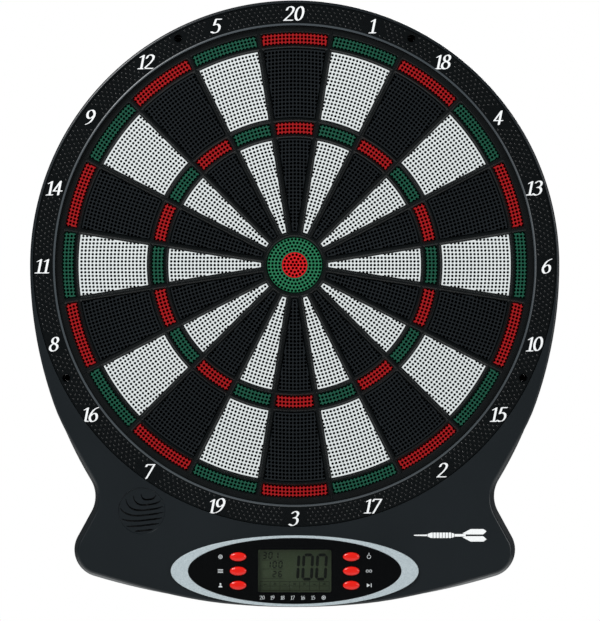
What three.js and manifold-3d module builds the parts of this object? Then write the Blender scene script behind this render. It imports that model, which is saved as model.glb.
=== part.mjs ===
// Electronic soft-tip dartboard: a moulded cabinet that holds a perforated target, a scoring
// display with six keys, a loudspeaker and a battery box. Millimetres, +Z up.
//
// Everything is drawn in a face frame, X to the right, Y up the face and Z out of the wall, with
// Z = 0 on the wall and X = Y = 0 on the bull. The exported group turns that frame upright, so
// that the board faces -Y and the origin lies on the wall behind the bull.

import * as THREE from "three";
import { mergeVertices } from "three/addons/utils/BufferGeometryUtils.js";
import Module from "manifold-3d";

const wasm = await Module();
wasm.setup();

// ---------------------------------------------------------------- driving dimensions

// Target: radii from the bull's centre, and widths of the rings of tiles.
const targetRadius = 197; // outer edge of the doubles, half of a 15.5 inch target
const doubleWidth = 8.9;
const tripleOuterRadius = 121.2;
const tripleWidth = 9.4;
const outerBullRadius = 23.2;
const bullRadius = 10.8;
const ringGap = 4.5; // between the tiles of two rings, where the spider's hoops stand
const bullGap = 5.5; // between the outer bull and the inner singles
const spokeGap = 5.6; // between the tiles of two numbers, where the spider's spokes stand
const tileClearance = 0.4; // tile to spider
const numbers = [20, 1, 18, 4, 13, 6, 10, 15, 2, 17, 3, 19, 7, 16, 8, 11, 14, 9, 12, 5];

// Cabinet outline: the disc round the target, the waist and the base under it.
const rimBand = 6.6; // smooth band between the doubles and the number ring
const numberRingWidth = 18.4;
const rimWidth = 3.8; // number ring to the outside of the cabinet
const chinHeight = 65.7; // base's lowest point below the disc's
const waistRise = 93.8; // waist above the lowest point
const waistInset = 54.9; // waist in from the disc's widest point
const waistRadius = 27;
const cornerRise = 48;
const cornerInset = 36.9;
const cornerRadius = 23.5;

// Cabinet depth and walls.
const bodyDepth = 34; // wall to the front face
const edgeRadius = 3.2;
const wall = 2.6;
const faceThickness = 2.6;
const coverThickness = 2.4;
const fitGap = 0.3; // between pieces that rest on or in each other

// Stack behind the tiles, from the wall outwards.
const supportRibHeight = 3.3;
const ribWidth = 2;
const middleRibRadius = 112;
const backingThickness = 3;
const filmThickness = 0.5;
const filmTailWidth = 30; // tail that runs down to the circuit board
const matThickness = 2;
const tileTravel = 1.2;
const flangeThickness = 1.6; // flange round the foot of the tiles
const tileRecess = 3.4; // tile faces below the cabinet's face
const crestHeight = 0.6; // spider above the tile faces
const spiderRimWidth = 3.5;
const spiderFlange = 2.5; // thickness of the flange that lies under the cabinet's shelf

// Number ring.
const ringThickness = 2.4;
const ringRecess = 0.8; // its face below the cabinet's face
const ringBeadWidth = 1.3;
const ringBeadHeight = 0.5;
const shelfThickness = 2.2;

// Fixing the board to a wall, and the cover to the front shell.
const fixingRadius = 3.2; // four holes right through, for wall screws
const fixingWall = 2;
const fixingSides = 12;
const fixingInset = 5.5; // hole axes in from the number ring's outer edge
const fixingAngles = [62.8, 117.2, 206.3, 333.7];
const screwHeadRadius = 3.2;
const screwHeadHeight = 1.9;
const screwShankRadius = 1.2;
const screwLength = 14;
const screwTip = 1.5;
const headClearance = 0.5;
const counterboreWall = 1.6;
const bossRadius = 3.8;
const screwRingAngles = [90, 20, 160];
const cornerScrewInset = 14.9; // corner screws in from the base's widest point
const lowScrewRise = 15.5;
const lowScrewMargin = 12; // low screws out from the circuit board

// Control panel on the base.
const panelRise = 31.9; // its centre above the base's lowest point
const bezelHalfWidth = 105.2;
const bezelHalfHeight = 30.2;
const bezelHeight = 2;
const panelHalfWidth = 90.3;
const panelHalfHeight = 27.7;
const panelThickness = 1.6;
const displayWidth = 62;
const displayHeight = 36;
const glassMargin = 3; // display glass beyond the window
const glassThickness = 2.7;
const holderWall = 4;
const windowThickness = 1.2;
const keyHalfWidth = 7.05;
const keyHalfHeight = 3.8;
const keyPitch = 12.1;
const keyMargin = 17; // key columns to the display
const keyProud = 2; // key above the panel
const keyTravel = 1;
const keyClearance = 0.35;
const keyFlange = 1.1;
const keyFlangeThickness = 1.6;
const keyEdge = 1.2; // bevel round a key's top
const domeHeight = 1.7;
const domeRadius = 3.9;
const padThickness = 1.1;
const padWidth = 16;
const boardThickness = 1.6;
const postRadius = 2.6; // posts that the circuit board is screwed to
const postInset = 5.5; // posts in from the circuit board's edges
const windowMargin = 1; // hole in the cabinet's face, round the display window
const boardMargin = 24; // circuit board beyond the key columns
const boardHeight = 44;
const boardDepth = 20.1; // circuit board's back above the wall
const leadRadius = 1.1;
const leadStandOff = 6; // where the leads' ends stand off the magnet and the board's edge

// Loudspeaker behind its grille in the base.
const speakerRadius = 20;
const speakerDepth = 14;
const magnetRadius = 11;
const magnetHeight = 6;
const coneWall = 0.5;
const speakerAngle = 238.1;
const speakerMargin = 3.8; // speaker to the number ring
const grilleRecess = 0.8;
const slotWidth = 1.7;
const slotCount = 7;

// Battery box, opening in the cover.
const cellRadius = 7.1;
const cellLength = 49.3;
const cellNubRadius = 2.7;
const cellNubHeight = 1.2;
const cellPitch = 15.2;
const cellMargin = 0.4; // cavity beyond the cells and contacts
const contactThickness = 0.6;
const contactSpringHeight = 3.9;
const contactHeight = 12;
const boxWall = 1.8;
const boxAngle = 298.8;
const boxMargin = 39.2; // box centre out from the number ring
const doorThickness = 2;
const doorLedge = 4.6;
const doorGap = 0.4;
const doorRim = 3; // wall round the door's recess
const doorSeat = 1.9; // thickness of the ledge under the door
const catchWidth = 14;
const catchReach = 5;
const hingePinRadius = 0.7;
const hingePinLength = 1.6;

// ---------------------------------------------------------------- places worked out from them

const ringInnerRadius = targetRadius + rimBand;
const ringOuterRadius = ringInnerRadius + numberRingWidth;
const bodyRadius = ringOuterRadius + rimWidth;
const baseBottom = -(bodyRadius + chinHeight);
const panelY = baseBottom + panelRise;
const keyOffset = displayWidth / 2 + keyMargin;
const boardWidth = 2 * (keyOffset + boardMargin);

const backingBack = coverThickness + supportRibHeight + fitGap;
const filmBack = backingBack + backingThickness + fitGap;
const matBack = filmBack + filmThickness + fitGap;
const matFront = matBack + matThickness;
const tileBack = matFront + fitGap + tileTravel;
const flangeFront = tileBack + flangeThickness;
const tileFront = bodyDepth - tileRecess;
const crest = tileFront + crestHeight;
const spiderBack = flangeFront + fitGap;

const ringFace = bodyDepth - ringRecess;
const shelfFront = ringFace - ringThickness - fitGap;
const shelfBack = shelfFront - shelfThickness;
const faceBack = bodyDepth - faceThickness;

const spiderRimOuter = ringInnerRadius - fitGap;
const spiderRimInner = spiderRimOuter - spiderRimWidth;
const spiderFlangeRadius = ringOuterRadius - fixingInset - fixingRadius - fixingWall - 0.8;
const fixingCircle = ringOuterRadius - fixingInset;

const panelBack = bodyDepth + fitGap;
const panelFront = panelBack + panelThickness;
const boardFront = boardDepth + boardThickness;
const windowBack = panelFront - windowThickness - 0.2;

// Rings of tiles, each from its inner to its outer radius.
const tileRings = [
  { inner: outerBullRadius + bullGap, outer: tripleOuterRadius - tripleWidth - ringGap },
  { inner: tripleOuterRadius - tripleWidth, outer: tripleOuterRadius },
  { inner: tripleOuterRadius + ringGap, outer: targetRadius - doubleWidth - ringGap },
  { inner: targetRadius - doubleWidth, outer: targetRadius },
];

const tau = Math.PI * 2;
const halfSector = Math.PI / numbers.length;
const roundSides = 48; // sides of the rings that show
const hiddenSides = 32; // sides of the discs behind them
const panelSides = 48;
const keySides = 16;
const speakerSides = 20;
const bullSides = 20;
const bossSides = 12;
const sunk = 0.5; // how far one stretch of a moulding runs into the next

const radians = THREE.MathUtils.degToRad;
const polar = (radius, angle) => new THREE.Vector2(radius * Math.cos(angle), radius * Math.sin(angle));

const speakerCentre = polar(ringOuterRadius + speakerMargin + speakerRadius, radians(speakerAngle));
const boxCentre = polar(ringOuterRadius + boxMargin, radians(boxAngle));

// ---------------------------------------------------------------- making and cutting solids

function solidFrom(geometry) {
  const bare = geometry.index ? geometry.toNonIndexed() : geometry.clone();
  bare.deleteAttribute("normal");
  bare.deleteAttribute("uv");
  const merged = mergeVertices(bare, 1e-4);
  return new wasm.Manifold(
    new wasm.Mesh({
      numProp: 3,
      vertProperties: merged.attributes.position.array,
      triVerts: new Uint32Array(merged.index.array),
    }),
  );
}

function geometryFrom(solid) {
  const mesh = solid.getMesh();
  const geometry = new THREE.BufferGeometry();
  geometry.setAttribute("position", new THREE.BufferAttribute(mesh.vertProperties, 3));
  geometry.setIndex(new THREE.BufferAttribute(mesh.triVerts, 1));
  return geometry;
}

const joined = (solids) => solids.reduce((whole, piece) => whole.add(piece));

// A closed outline of the face, extruded from one height above the wall to another.
function slab(shape, from, to) {
  const geometry = new THREE.ExtrudeGeometry(shape, { depth: to - from, bevelEnabled: false });
  return solidFrom(geometry.translate(0, 0, from));
}

// The same with its front edge rounded.
function roundedSlab(shape, from, to, radius, steps) {
  const geometry = new THREE.ExtrudeGeometry(shape, {
    depth: to - from - radius,
    bevelThickness: radius,
    bevelSize: radius,
    bevelOffset: -radius,
    bevelSegments: steps,
  });
  const whole = solidFrom(geometry.translate(0, 0, from));
  return whole.subtract(block(2000, 2000, 2 * radius, 0, 0, from - 2 * radius));
}

function block(width, height, depth, x, y, back) {
  return solidFrom(new THREE.BoxGeometry(width, height, depth).translate(x, y, back + depth / 2));
}

function ellipsePoints(halfWidth, halfHeight, sides, x = 0, y = 0) {
  return Array.from({ length: sides }, (_, i) => {
    const angle = (i / sides) * tau;
    return new THREE.Vector2(x + halfWidth * Math.cos(angle), y + halfHeight * Math.sin(angle));
  });
}

const discPoints = (radius, sides, x = 0, y = 0) => ellipsePoints(radius, radius, sides, x, y);
const outlineOf = (points) => new THREE.Shape(points);
const disc = (radius, sides, from, to, x = 0, y = 0) =>
  slab(outlineOf(discPoints(radius, sides, x, y)), from, to);
const oval = (halfWidth, halfHeight, sides, from, to, x, y) =>
  slab(outlineOf(ellipsePoints(halfWidth, halfHeight, sides, x, y)), from, to);
const hoop = (inner, outer, sides, from, to) =>
  disc(outer, sides, from, to).subtract(disc(inner, sides, from - 1, to + 1));

// A profile of [radius, height] pairs turned about an axis that points out of the wall.
function turned(profile, sides, x = 0, y = 0) {
  const points = profile.map(([radius, height]) => new THREE.Vector2(radius, height));
  const geometry = new THREE.LatheGeometry(points, sides);
  return solidFrom(geometry.rotateX(Math.PI / 2).translate(x, y, 0));
}

// A lead along a smooth curve through the points.
function lead(points) {
  const curve = new THREE.CatmullRomCurve3(points.map((p) => new THREE.Vector3(...p)));
  const steps = Math.ceil(curve.getLength() / (leadRadius * 5));
  const section = outlineOf(discPoints(leadRadius, 8));
  return solidFrom(new THREE.ExtrudeGeometry(section, { steps, extrudePath: curve }));
}

// ---------------------------------------------------------------- the cabinet's outline

// Points along an arc, from one angle to another.
function arc(centre, radius, from, to, step = radians(5)) {
  const count = Math.max(2, Math.ceil(Math.abs(to - from) / step));
  return Array.from({ length: count + 1 }, (_, i) =>
    polar(radius, from + ((to - from) * i) / count).add(centre),
  );
}

// The outline is a disc, two long flank arcs, hollow waists, round corners and a shallow arc
// underneath, all tangent to each other. An inset only changes the radii.
function cabinetOutline(inset = 0) {
  const waistY = baseBottom + waistRise;
  const waist = new THREE.Vector2(bodyRadius - waistInset + waistRadius, waistY);
  const across = waistRadius - waistInset;
  const flankRadius =
    (waistY ** 2 + across ** 2 - waistRadius ** 2) / (2 * (waistRadius - across));
  const flank = new THREE.Vector2(bodyRadius - flankRadius, 0);
  const corner = new THREE.Vector2(
    bodyRadius - cornerInset - cornerRadius,
    baseBottom + cornerRise,
  );
  const lowRadius =
    (corner.x ** 2 + cornerRise ** 2 - cornerRadius ** 2) / (2 * (cornerRise - cornerRadius));
  const low = new THREE.Vector2(0, baseBottom + lowRadius);

  const flankEnd = waist.clone().sub(flank).angle() - tau;
  const between = corner.clone().sub(waist);
  const lean = Math.acos((waistRadius + cornerRadius) / between.length());
  const tangent = between.angle() - lean;
  const lowStart = corner.clone().sub(low).angle();

  const right = [
    ...arc(new THREE.Vector2(), bodyRadius - inset, Math.PI / 2, 0),
    ...arc(flank, flankRadius - inset, 0, flankEnd).slice(1),
    ...arc(waist, waistRadius + inset, flankEnd + Math.PI, tangent, radians(15)).slice(1),
    ...arc(corner, cornerRadius - inset, tangent - Math.PI, lowStart - tau, radians(18)),
    ...arc(low, lowRadius - inset, lowStart, 1.5 * Math.PI, radians(4)).slice(1),
  ];
  const left = right
    .slice(1, -1)
    .reverse()
    .map((p) => new THREE.Vector2(-p.x, p.y));
  return outlineOf([...right, ...left].reverse());
}

// ---------------------------------------------------------------- tiles and spider

// Half the angle that a tile takes at a radius, when its sides stay a set distance from the
// line between two numbers.
const halfAngleAt = (radius, offset) => halfSector - Math.asin(offset / radius);

function tileOutline(index, inner, outer, offset) {
  const middle = Math.PI / 2 - index * 2 * halfSector;
  const edge = (radius, side) => polar(radius, middle + side * halfAngleAt(radius, offset));
  return outlineOf([
    edge(outer, -1),
    polar(outer, middle),
    edge(outer, 1),
    edge(inner, 1),
    polar(inner, middle),
    edge(inner, -1),
  ]);
}

const sideOffset = spokeGap / 2;
const flangeOffset = 0.5; // flange to the line between two numbers
const flangeInner = outerBullRadius + 3;
const flangeGap = 0.6; // between the flanges and what stands next to them
const flangeOuter = spiderRimInner - flangeGap;
const bullFlange = 1.6;
const bullFlangeFront = flangeFront - 0.2;

// The four tiles of one number, standing on the flange at their foot.
function numberTiles(index) {
  const flange = slab(tileOutline(index, flangeInner, flangeOuter, flangeOffset), tileBack, flangeFront);
  const tiles = tileRings.map(({ inner, outer }) =>
    slab(tileOutline(index, inner, outer, sideOffset), tileBack, tileFront),
  );
  return joined([flange, ...tiles]);
}

function outerBull() {
  const bore = bullRadius + fitGap;
  const footBore = bore + bullFlange + 0.2;
  const footFront = bullFlangeFront + tileTravel + fitGap; // clears the flange of a bull left behind
  return turned(
    [
      [footBore, tileBack],
      [flangeInner - flangeGap, tileBack],
      [flangeInner - flangeGap, flangeFront],
      [outerBullRadius, flangeFront],
      [outerBullRadius, tileFront],
      [bore, tileFront],
      [bore, footFront],
      [footBore, footFront],
      [footBore, tileBack],
    ],
    bullSides,
  );
}

function bull() {
  return turned(
    [
      [0, tileBack],
      [bullRadius + bullFlange, tileBack],
      [bullRadius + bullFlange, bullFlangeFront],
      [bullRadius, bullFlangeFront],
      [bullRadius, tileFront],
      [0, tileFront],
    ],
    bullSides,
  );
}

// The spider is a web with one opening for each tile, a deep rim that presses the mat down, and
// a flange that lies under the cabinet's shelf.
function spider() {
  const openings = numbers.flatMap((_, index) =>
    tileRings.map(({ inner, outer }) => {
      const sides = sideOffset - tileClearance;
      const opening = tileOutline(index, inner - tileClearance, outer + tileClearance, sides);
      return slab(opening, spiderBack - 1, crest + 1);
    }),
  );
  const bullOpening = disc(outerBullRadius + tileClearance, bullSides, spiderBack - 1, crest + 1);
  const plate = disc(spiderRimOuter, roundSides, spiderBack, crest);
  const web = plate.subtract(joined([...openings, bullOpening]));
  const flangeBack = shelfBack - fitGap - spiderFlange;
  return joined([
    web,
    hoop(spiderRimInner, spiderRimOuter, roundSides, matFront + fitGap, crest - sunk),
    hoop(spiderRimOuter - sunk, spiderFlangeRadius, roundSides, flangeBack, flangeBack + spiderFlange),
  ]);
}

// ---------------------------------------------------------------- fixings

const fixingPlaces = fixingAngles.map((angle) => polar(fixingCircle, radians(angle)));
const cornerPlace = new THREE.Vector2(
  bodyRadius - cornerInset - cornerScrewInset,
  baseBottom + cornerRise,
);
const lowPlace = new THREE.Vector2(boardWidth / 2 + lowScrewMargin, baseBottom + lowScrewRise);
const mirrored = (place) => new THREE.Vector2(-place.x, place.y);
const screwPlaces = [
  ...screwRingAngles.map((angle) => polar(fixingCircle, radians(angle))),
  cornerPlace,
  mirrored(cornerPlace),
  lowPlace,
  mirrored(lowPlace),
];

const counterboreRadius = screwHeadRadius + headClearance;
const counterboreDepth = screwHeadHeight + 0.6;
const coverBossHeight = 2.6; // floor under the screw heads
const shellBossBack = counterboreDepth + coverBossHeight + fitGap;

function coverScrew({ x, y }) {
  const headBack = 0.4;
  const headFront = headBack + screwHeadHeight;
  return turned(
    [
      [0, headBack],
      [screwHeadRadius, headBack],
      [screwHeadRadius, headFront - 0.7],
      [screwShankRadius, headFront],
      [screwShankRadius, headFront + screwLength - screwTip],
      [0, headFront + screwLength],
    ],
    10,
    x,
    y,
  );
}

// ---------------------------------------------------------------- cabinet

// Curved slots of the loudspeaker grille: a family of squared ellipses about a point above and
// to the right, cut off by the grille's edge.
function grilleSlots() {
  const reach = 0.92;
  return Array.from({ length: slotCount }, (_, k) => {
    const halfWidth = 0.36 + 0.34 * k;
    const halfHeight = 0.56 + 0.225 * k;
    const line = (u) => {
      const across = Math.min(1, Math.abs((u - 0.3) / halfWidth));
      return 1.05 - halfHeight * (1 - across ** 3) ** (1 / 3) + 0.1 * (u - 0.3);
    };
    const inside = [];
    for (let u = -1; u <= 1; u += 0.02) {
      if (Math.abs(u - 0.3) < halfWidth * 0.995 && Math.hypot(u, line(u)) < reach) inside.push(u);
    }
    const [first, last] = [inside[0], inside[inside.length - 1]];
    const middle = Array.from({ length: 8 }, (_, i) => {
      const u = first + ((last - first) * i) / 7;
      return new THREE.Vector2(u, line(u)).multiplyScalar(speakerRadius).add(speakerCentre);
    });
    const side = (sign) =>
      middle.map((p, i) => {
        const along = middle[Math.min(7, i + 1)].clone().sub(middle[Math.max(0, i - 1)]).normalize();
        return p.clone().add(new THREE.Vector2(-along.y, along.x).multiplyScalar((sign * slotWidth) / 2));
      });
    return slab(outlineOf([...side(-1), ...side(1).reverse()]), faceBack - 1, bodyDepth + 1);
  });
}

const keyPlaces = [-1, 1].flatMap((side) =>
  [1, 0, -1].map((row) => new THREE.Vector2(side * keyOffset, panelY + row * keyPitch)),
);

// The hole for one key, through the cabinet's face and the panel on it.
function keyHole({ x, y }) {
  const halfWidth = keyHalfWidth + keyClearance;
  const halfHeight = keyHalfHeight + keyClearance;
  return oval(halfWidth, halfHeight, keySides, faceBack - 1, panelFront + 1, x, y);
}

const postX = boardWidth / 2 - postInset;
const postY = boardHeight / 2 - postInset;
const postPlaces = [-1, 1].flatMap((side) =>
  [-1, 1].map((end) => new THREE.Vector2(side * postX, panelY + end * postY)),
);

function frontShell() {
  const recessRadius = ringOuterRadius + fitGap;
  const shelfBlock = disc(recessRadius + wall, roundSides, shelfBack, bodyDepth + 1);
  const hollow = slab(cabinetOutline(wall), -1, faceBack).subtract(shelfBlock);
  const bosses = screwPlaces.map(({ x, y }) =>
    disc(bossRadius, bossSides, shellBossBack, faceBack + sunk, x, y),
  );
  const tubes = fixingPlaces.map(({ x, y }) =>
    disc(fixingRadius + fixingWall, fixingSides, coverThickness + fitGap, shelfFront - sunk, x, y),
  );
  const posts = postPlaces.map(({ x, y }) =>
    disc(postRadius, 8, boardFront + fitGap, faceBack + sunk, x, y),
  );
  const cuts = [
    disc(recessRadius, roundSides, shelfFront, bodyDepth + 1),
    disc(ringInnerRadius, roundSides, -1, bodyDepth + 1),
    ...fixingPlaces.map(({ x, y }) => disc(fixingRadius, fixingSides, 0, bodyDepth, x, y)),
    ...screwPlaces.map(({ x, y }) =>
      disc(screwShankRadius + fitGap, 8, 0, screwHeadHeight + screwLength + screwTip, x, y),
    ),
    block(
      displayWidth + 2 * windowMargin,
      displayHeight + 2 * windowMargin,
      2 * faceThickness,
      0,
      panelY,
      faceBack - 1,
    ),
    ...keyPlaces.map(keyHole),
    disc(
      speakerRadius,
      speakerSides,
      bodyDepth - grilleRecess,
      bodyDepth + 1,
      speakerCentre.x,
      speakerCentre.y,
    ),
    ...grilleSlots(),
  ];
  const walls = roundedSlab(cabinetOutline(), 0, bodyDepth, edgeRadius, 2).subtract(hollow);
  const moulding = joined([walls, ...bosses, ...tubes, ...posts]);
  return cuts.reduce((whole, cut) => whole.subtract(cut), moulding);
}

function numberRing() {
  const back = shelfFront + fitGap;
  const inner = ringInnerRadius;
  const ring = turned(
    [
      [inner, back],
      [ringOuterRadius, back],
      [ringOuterRadius, ringFace],
      [inner + ringBeadWidth, ringFace],
      [inner + ringBeadWidth, ringFace + ringBeadHeight],
      [inner, ringFace + ringBeadHeight],
      [inner, back],
    ],
    roundSides,
  );
  return fixingPlaces.reduce(
    (whole, { x, y }) => whole.subtract(disc(fixingRadius, fixingSides, back - 1, bodyDepth + 1, x, y)),
    ring,
  );
}

// Battery box: the cells lie across it, one above the other.
const cavityWidth =
  cellLength + cellNubHeight + contactSpringHeight + 2 * contactThickness + 3 * cellMargin + 0.2;
const cavityHeight = 3 * cellPitch + 2 * cellMargin;
const cavityBack = doorThickness + 0.5;
const cavityFront = cavityBack + 2 * cellRadius + 2.4;
const doorWidth = cavityWidth + 2 * doorLedge;
const doorHeight = cavityHeight + 2 * doorLedge;
const cellAxis = (cavityBack + cavityFront) / 2;

function rearCover() {
  const { x, y } = boxCentre;
  const outline = cabinetOutline(wall + fitGap);
  const ribBack = coverThickness - sunk;
  const ribFront = coverThickness + supportRibHeight;
  const ribs = [
    hoop(middleRibRadius - ribWidth, middleRibRadius, hiddenSides, ribBack, ribFront),
    hoop(spiderRimInner - ribWidth, spiderRimInner, hiddenSides, ribBack, ribFront),
    ...[0, 1, 2, 3].map((turn) => {
      const bar = block(2 * spiderRimInner - ribWidth, ribWidth, ribFront - ribBack, 0, 0, ribBack);
      return bar.rotate([0, 0, 45 * turn + 22.5]);
    }),
  ];
  const additions = [
    ...ribs,
    ...screwPlaces.map((p) =>
      disc(
        counterboreRadius + counterboreWall,
        bossSides,
        coverThickness - sunk,
        counterboreDepth + coverBossHeight,
        p.x,
        p.y,
      ),
    ),
    block(cavityWidth + 2 * boxWall, cavityHeight + 2 * boxWall, cavityFront + boxWall - sunk, x, y, sunk),
    block(
      doorWidth + 2 * (doorGap + doorRim),
      doorHeight + 2 * (doorGap + doorRim),
      cavityBack + doorSeat - sunk,
      x,
      y,
      sunk,
    ),
  ];
  const cuts = [
    block(doorWidth + 2 * doorGap, doorHeight + 2 * doorGap, cavityBack + 1, x, y, -1),
    block(
      catchWidth,
      catchReach,
      doorThickness + 1,
      x,
      y - (doorHeight + catchReach) / 2 - doorGap + sunk,
      -1,
    ),
    block(
      doorWidth + 2 * (hingePinLength + fitGap),
      2 * (hingePinRadius + fitGap),
      hingeHeight + hingePinRadius + fitGap + 1,
      x,
      hingeY,
      -1,
    ),
    block(cavityWidth, cavityHeight, cavityFront, x, y, 0),
    ...fixingPlaces.map((p) => disc(fixingRadius, fixingSides, -1, 2 * coverThickness, p.x, p.y)),
    ...screwPlaces.map((p) => disc(counterboreRadius, bossSides, -1, counterboreDepth, p.x, p.y)),
    ...screwPlaces.map((p) => disc(screwShankRadius + fitGap, 8, 0, shellBossBack, p.x, p.y)),
  ];
  return cuts.reduce(
    (whole, cut) => whole.subtract(cut),
    joined([slab(outline, 0, coverThickness), ...additions]),
  );
}

const hingeY = boxCentre.y + doorHeight / 2 - doorThickness / 2;
const hingeHeight = doorThickness / 2;

// A round bar across the box, on the door's hinge line.
function hingeBar(radius, length) {
  const bar = new THREE.CylinderGeometry(radius, radius, length, 8).rotateZ(Math.PI / 2);
  return solidFrom(bar.translate(boxCentre.x, hingeY, hingeHeight));
}

// The door turns on two pins in snap-in notches, and a sprung tab catches its lower edge.
function batteryDoor() {
  const { x, y } = boxCentre;
  const leafHeight = doorHeight - doorThickness / 2;
  const leaf = block(doorWidth, leafHeight, doorThickness, x, y - doorThickness / 4, 0);
  const catchTab = block(catchWidth - 1, 3, doorThickness, x, y - doorHeight / 2 - 1, 0);
  const thumbGrip = block(catchWidth - 4, 1.2, 1, x, y - doorHeight / 2 + 3, -0.2);
  return joined([
    leaf,
    hingeBar(doorThickness / 2, doorWidth),
    hingeBar(hingePinRadius, doorWidth + 2 * hingePinLength),
    catchTab,
  ]).subtract(thumbGrip);
}

function cell(row) {
  const facesRight = row % 2 === 0;
  const profile = [
    [0, 0],
    [cellRadius, 0],
    [cellRadius, cellLength],
    [cellNubRadius, cellLength],
    [cellNubRadius, cellLength + cellNubHeight],
    [0, cellLength + cellNubHeight],
  ];
  const points = profile.map(([radius, height]) => new THREE.Vector2(radius, height));
  const start = -cavityWidth / 2 + fitGap + contactThickness + contactSpringHeight + fitGap;
  const geometry = new THREE.LatheGeometry(points, 16)
    .rotateZ(-Math.PI / 2)
    .translate(start, 0, 0)
    .rotateZ(facesRight ? 0 : Math.PI);
  return solidFrom(geometry.translate(boxCentre.x, boxCentre.y + (1 - row) * cellPitch, cellAxis));
}

// A strip of contacts, with a cone spring for each cell whose flat end faces it.
function contactStrip(side) {
  const x = boxCentre.x + side * (cavityWidth / 2 - fitGap - contactThickness / 2);
  const back = cellAxis - contactHeight / 2;
  const strip = block(contactThickness, cavityHeight - 2, contactHeight, x, boxCentre.y, back);
  const springs = [0, 1, 2]
    .filter((row) => (row % 2 === 0) === (side < 0))
    .map((row) => {
      const cone = new THREE.CylinderGeometry(2, 4.4, contactSpringHeight + 0.2, 10);
      cone.rotateZ((side * Math.PI) / 2);
      const reach = x - side * (contactThickness / 2 + contactSpringHeight / 2 - 0.1);
      return solidFrom(cone.translate(reach, boxCentre.y + (1 - row) * cellPitch, cellAxis));
    });
  return joined([strip, ...springs]);
}

// ---------------------------------------------------------------- what lies behind the tiles

const stackRadius = spiderRimOuter + 2.7;

function switchFilm() {
  const tailEnd = panelY + boardHeight / 2 - 6;
  const layer = disc(stackRadius, hiddenSides, filmBack, filmBack + filmThickness);
  const length = -stackRadius + 20 - tailEnd;
  const strip = block(filmTailWidth, length, filmThickness, 0, tailEnd + length / 2, filmBack);
  const riserHeight = boardDepth - fitGap - filmBack;
  const riser = block(filmTailWidth, filmThickness, riserHeight, 0, tailEnd + filmThickness / 2, filmBack);
  return joined([layer, strip, riser]);
}

// ---------------------------------------------------------------- control panel


function silverBezel() {
  const outer = roundedSlab(
    outlineOf(ellipsePoints(bezelHalfWidth, bezelHalfHeight, panelSides, 0, panelY)),
    panelBack,
    panelBack + bezelHeight,
    0.5,
    1,
  );
  const opening = [panelHalfWidth + fitGap, panelHalfHeight + fitGap];
  return outer.subtract(oval(...opening, panelSides, panelBack - 1, panelFront + 2, 0, panelY));
}

function controlPanel() {
  const plate = oval(panelHalfWidth, panelHalfHeight, panelSides, panelBack, panelFront, 0, panelY);
  const cuts = [
    block(displayWidth, displayHeight, 2 * panelThickness, 0, panelY, panelBack - 0.5),
    ...keyPlaces.map(keyHole),
  ];
  return cuts.reduce((whole, cut) => whole.subtract(cut), plate);
}

const padBack = boardFront + fitGap;
const padTop = padBack + domeHeight;
const keyBack = padTop + fitGap + keyTravel;

// A key: an oval cap on a stem, with a flange that stops it behind the cabinet's face.
function key({ x, y }) {
  const cap = roundedSlab(
    outlineOf(ellipsePoints(keyHalfWidth, keyHalfHeight, keySides, x, y)),
    keyBack,
    panelFront + keyProud,
    keyEdge,
    1,
  );
  const flange = oval(
    keyHalfWidth + keyFlange,
    keyHalfHeight + keyFlange,
    keySides,
    faceBack - fitGap - keyFlangeThickness,
    faceBack - fitGap,
    x,
    y,
  );
  return cap.add(flange);
}

// A rubber pad with a dome under each key of one column.
function keyPad(side) {
  const x = side * keyOffset;
  const sheet = block(padWidth, 2 * keyPitch + padWidth - 5, padThickness, x, panelY, padBack);
  const profile = [
    [0, padBack + sunk],
    [domeRadius, padBack + sunk],
    [domeRadius - 1, padTop],
    [0, padTop],
  ];
  const domes = [-1, 0, 1].map((row) => turned(profile, 10, x, panelY + row * keyPitch));
  return joined([sheet, ...domes]);
}

const glassBack = faceBack - fitGap - glassThickness;
const holderBack = boardFront + fitGap;

function displayGlass() {
  const size = [displayWidth + 2 * glassMargin, displayHeight + 2 * glassMargin];
  return block(...size, glassThickness, 0, panelY, glassBack);
}

function displayHolder() {
  const depth = glassBack - fitGap - holderBack;
  const outer = [displayWidth + 2 * holderWall, displayHeight + 2 * holderWall];
  return block(...outer, depth, 0, panelY, holderBack).subtract(
    block(displayWidth, displayHeight, depth + 2, 0, panelY, holderBack - 1),
  );
}

// The circuit board, with the resin-covered processor on its back.
function mainBoard() {
  const sheet = block(boardWidth, boardHeight, boardThickness, 0, panelY, boardDepth);
  const processor = turned(
    [[0, boardDepth - 1.6], [5, boardDepth - 1.2], [8, boardDepth + 0.2], [0, boardDepth + 0.2]],
    12,
    -34,
    panelY - 4,
  );
  const holes = postPlaces.map(({ x, y }) => disc(1.4, 8, boardDepth - 1, boardDepth + 3, x, y));
  return holes.reduce((whole, hole) => whole.subtract(hole), sheet.add(processor));
}

// ---------------------------------------------------------------- loudspeaker

const speakerFront = faceBack - fitGap;
const speakerBack = speakerFront - speakerDepth;
const coneSeat = speakerFront - 1.6;
const coneFoot = speakerBack + magnetHeight + 1.4;

function speakerFrame() {
  const { x, y } = speakerCentre;
  return turned(
    [
      [0, speakerBack],
      [magnetRadius, speakerBack],
      [magnetRadius, speakerBack + magnetHeight],
      [speakerRadius - 3, speakerFront - 3.4],
      [speakerRadius, speakerFront - 3.4],
      [speakerRadius, speakerFront],
      [speakerRadius - 2, speakerFront],
      [speakerRadius - 2, coneSeat],
      [speakerRadius - 4, coneSeat - 0.8],
      [magnetRadius - 1, coneFoot],
      [0, coneFoot],
    ],
    speakerSides,
    x,
    y,
  );
}

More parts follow.
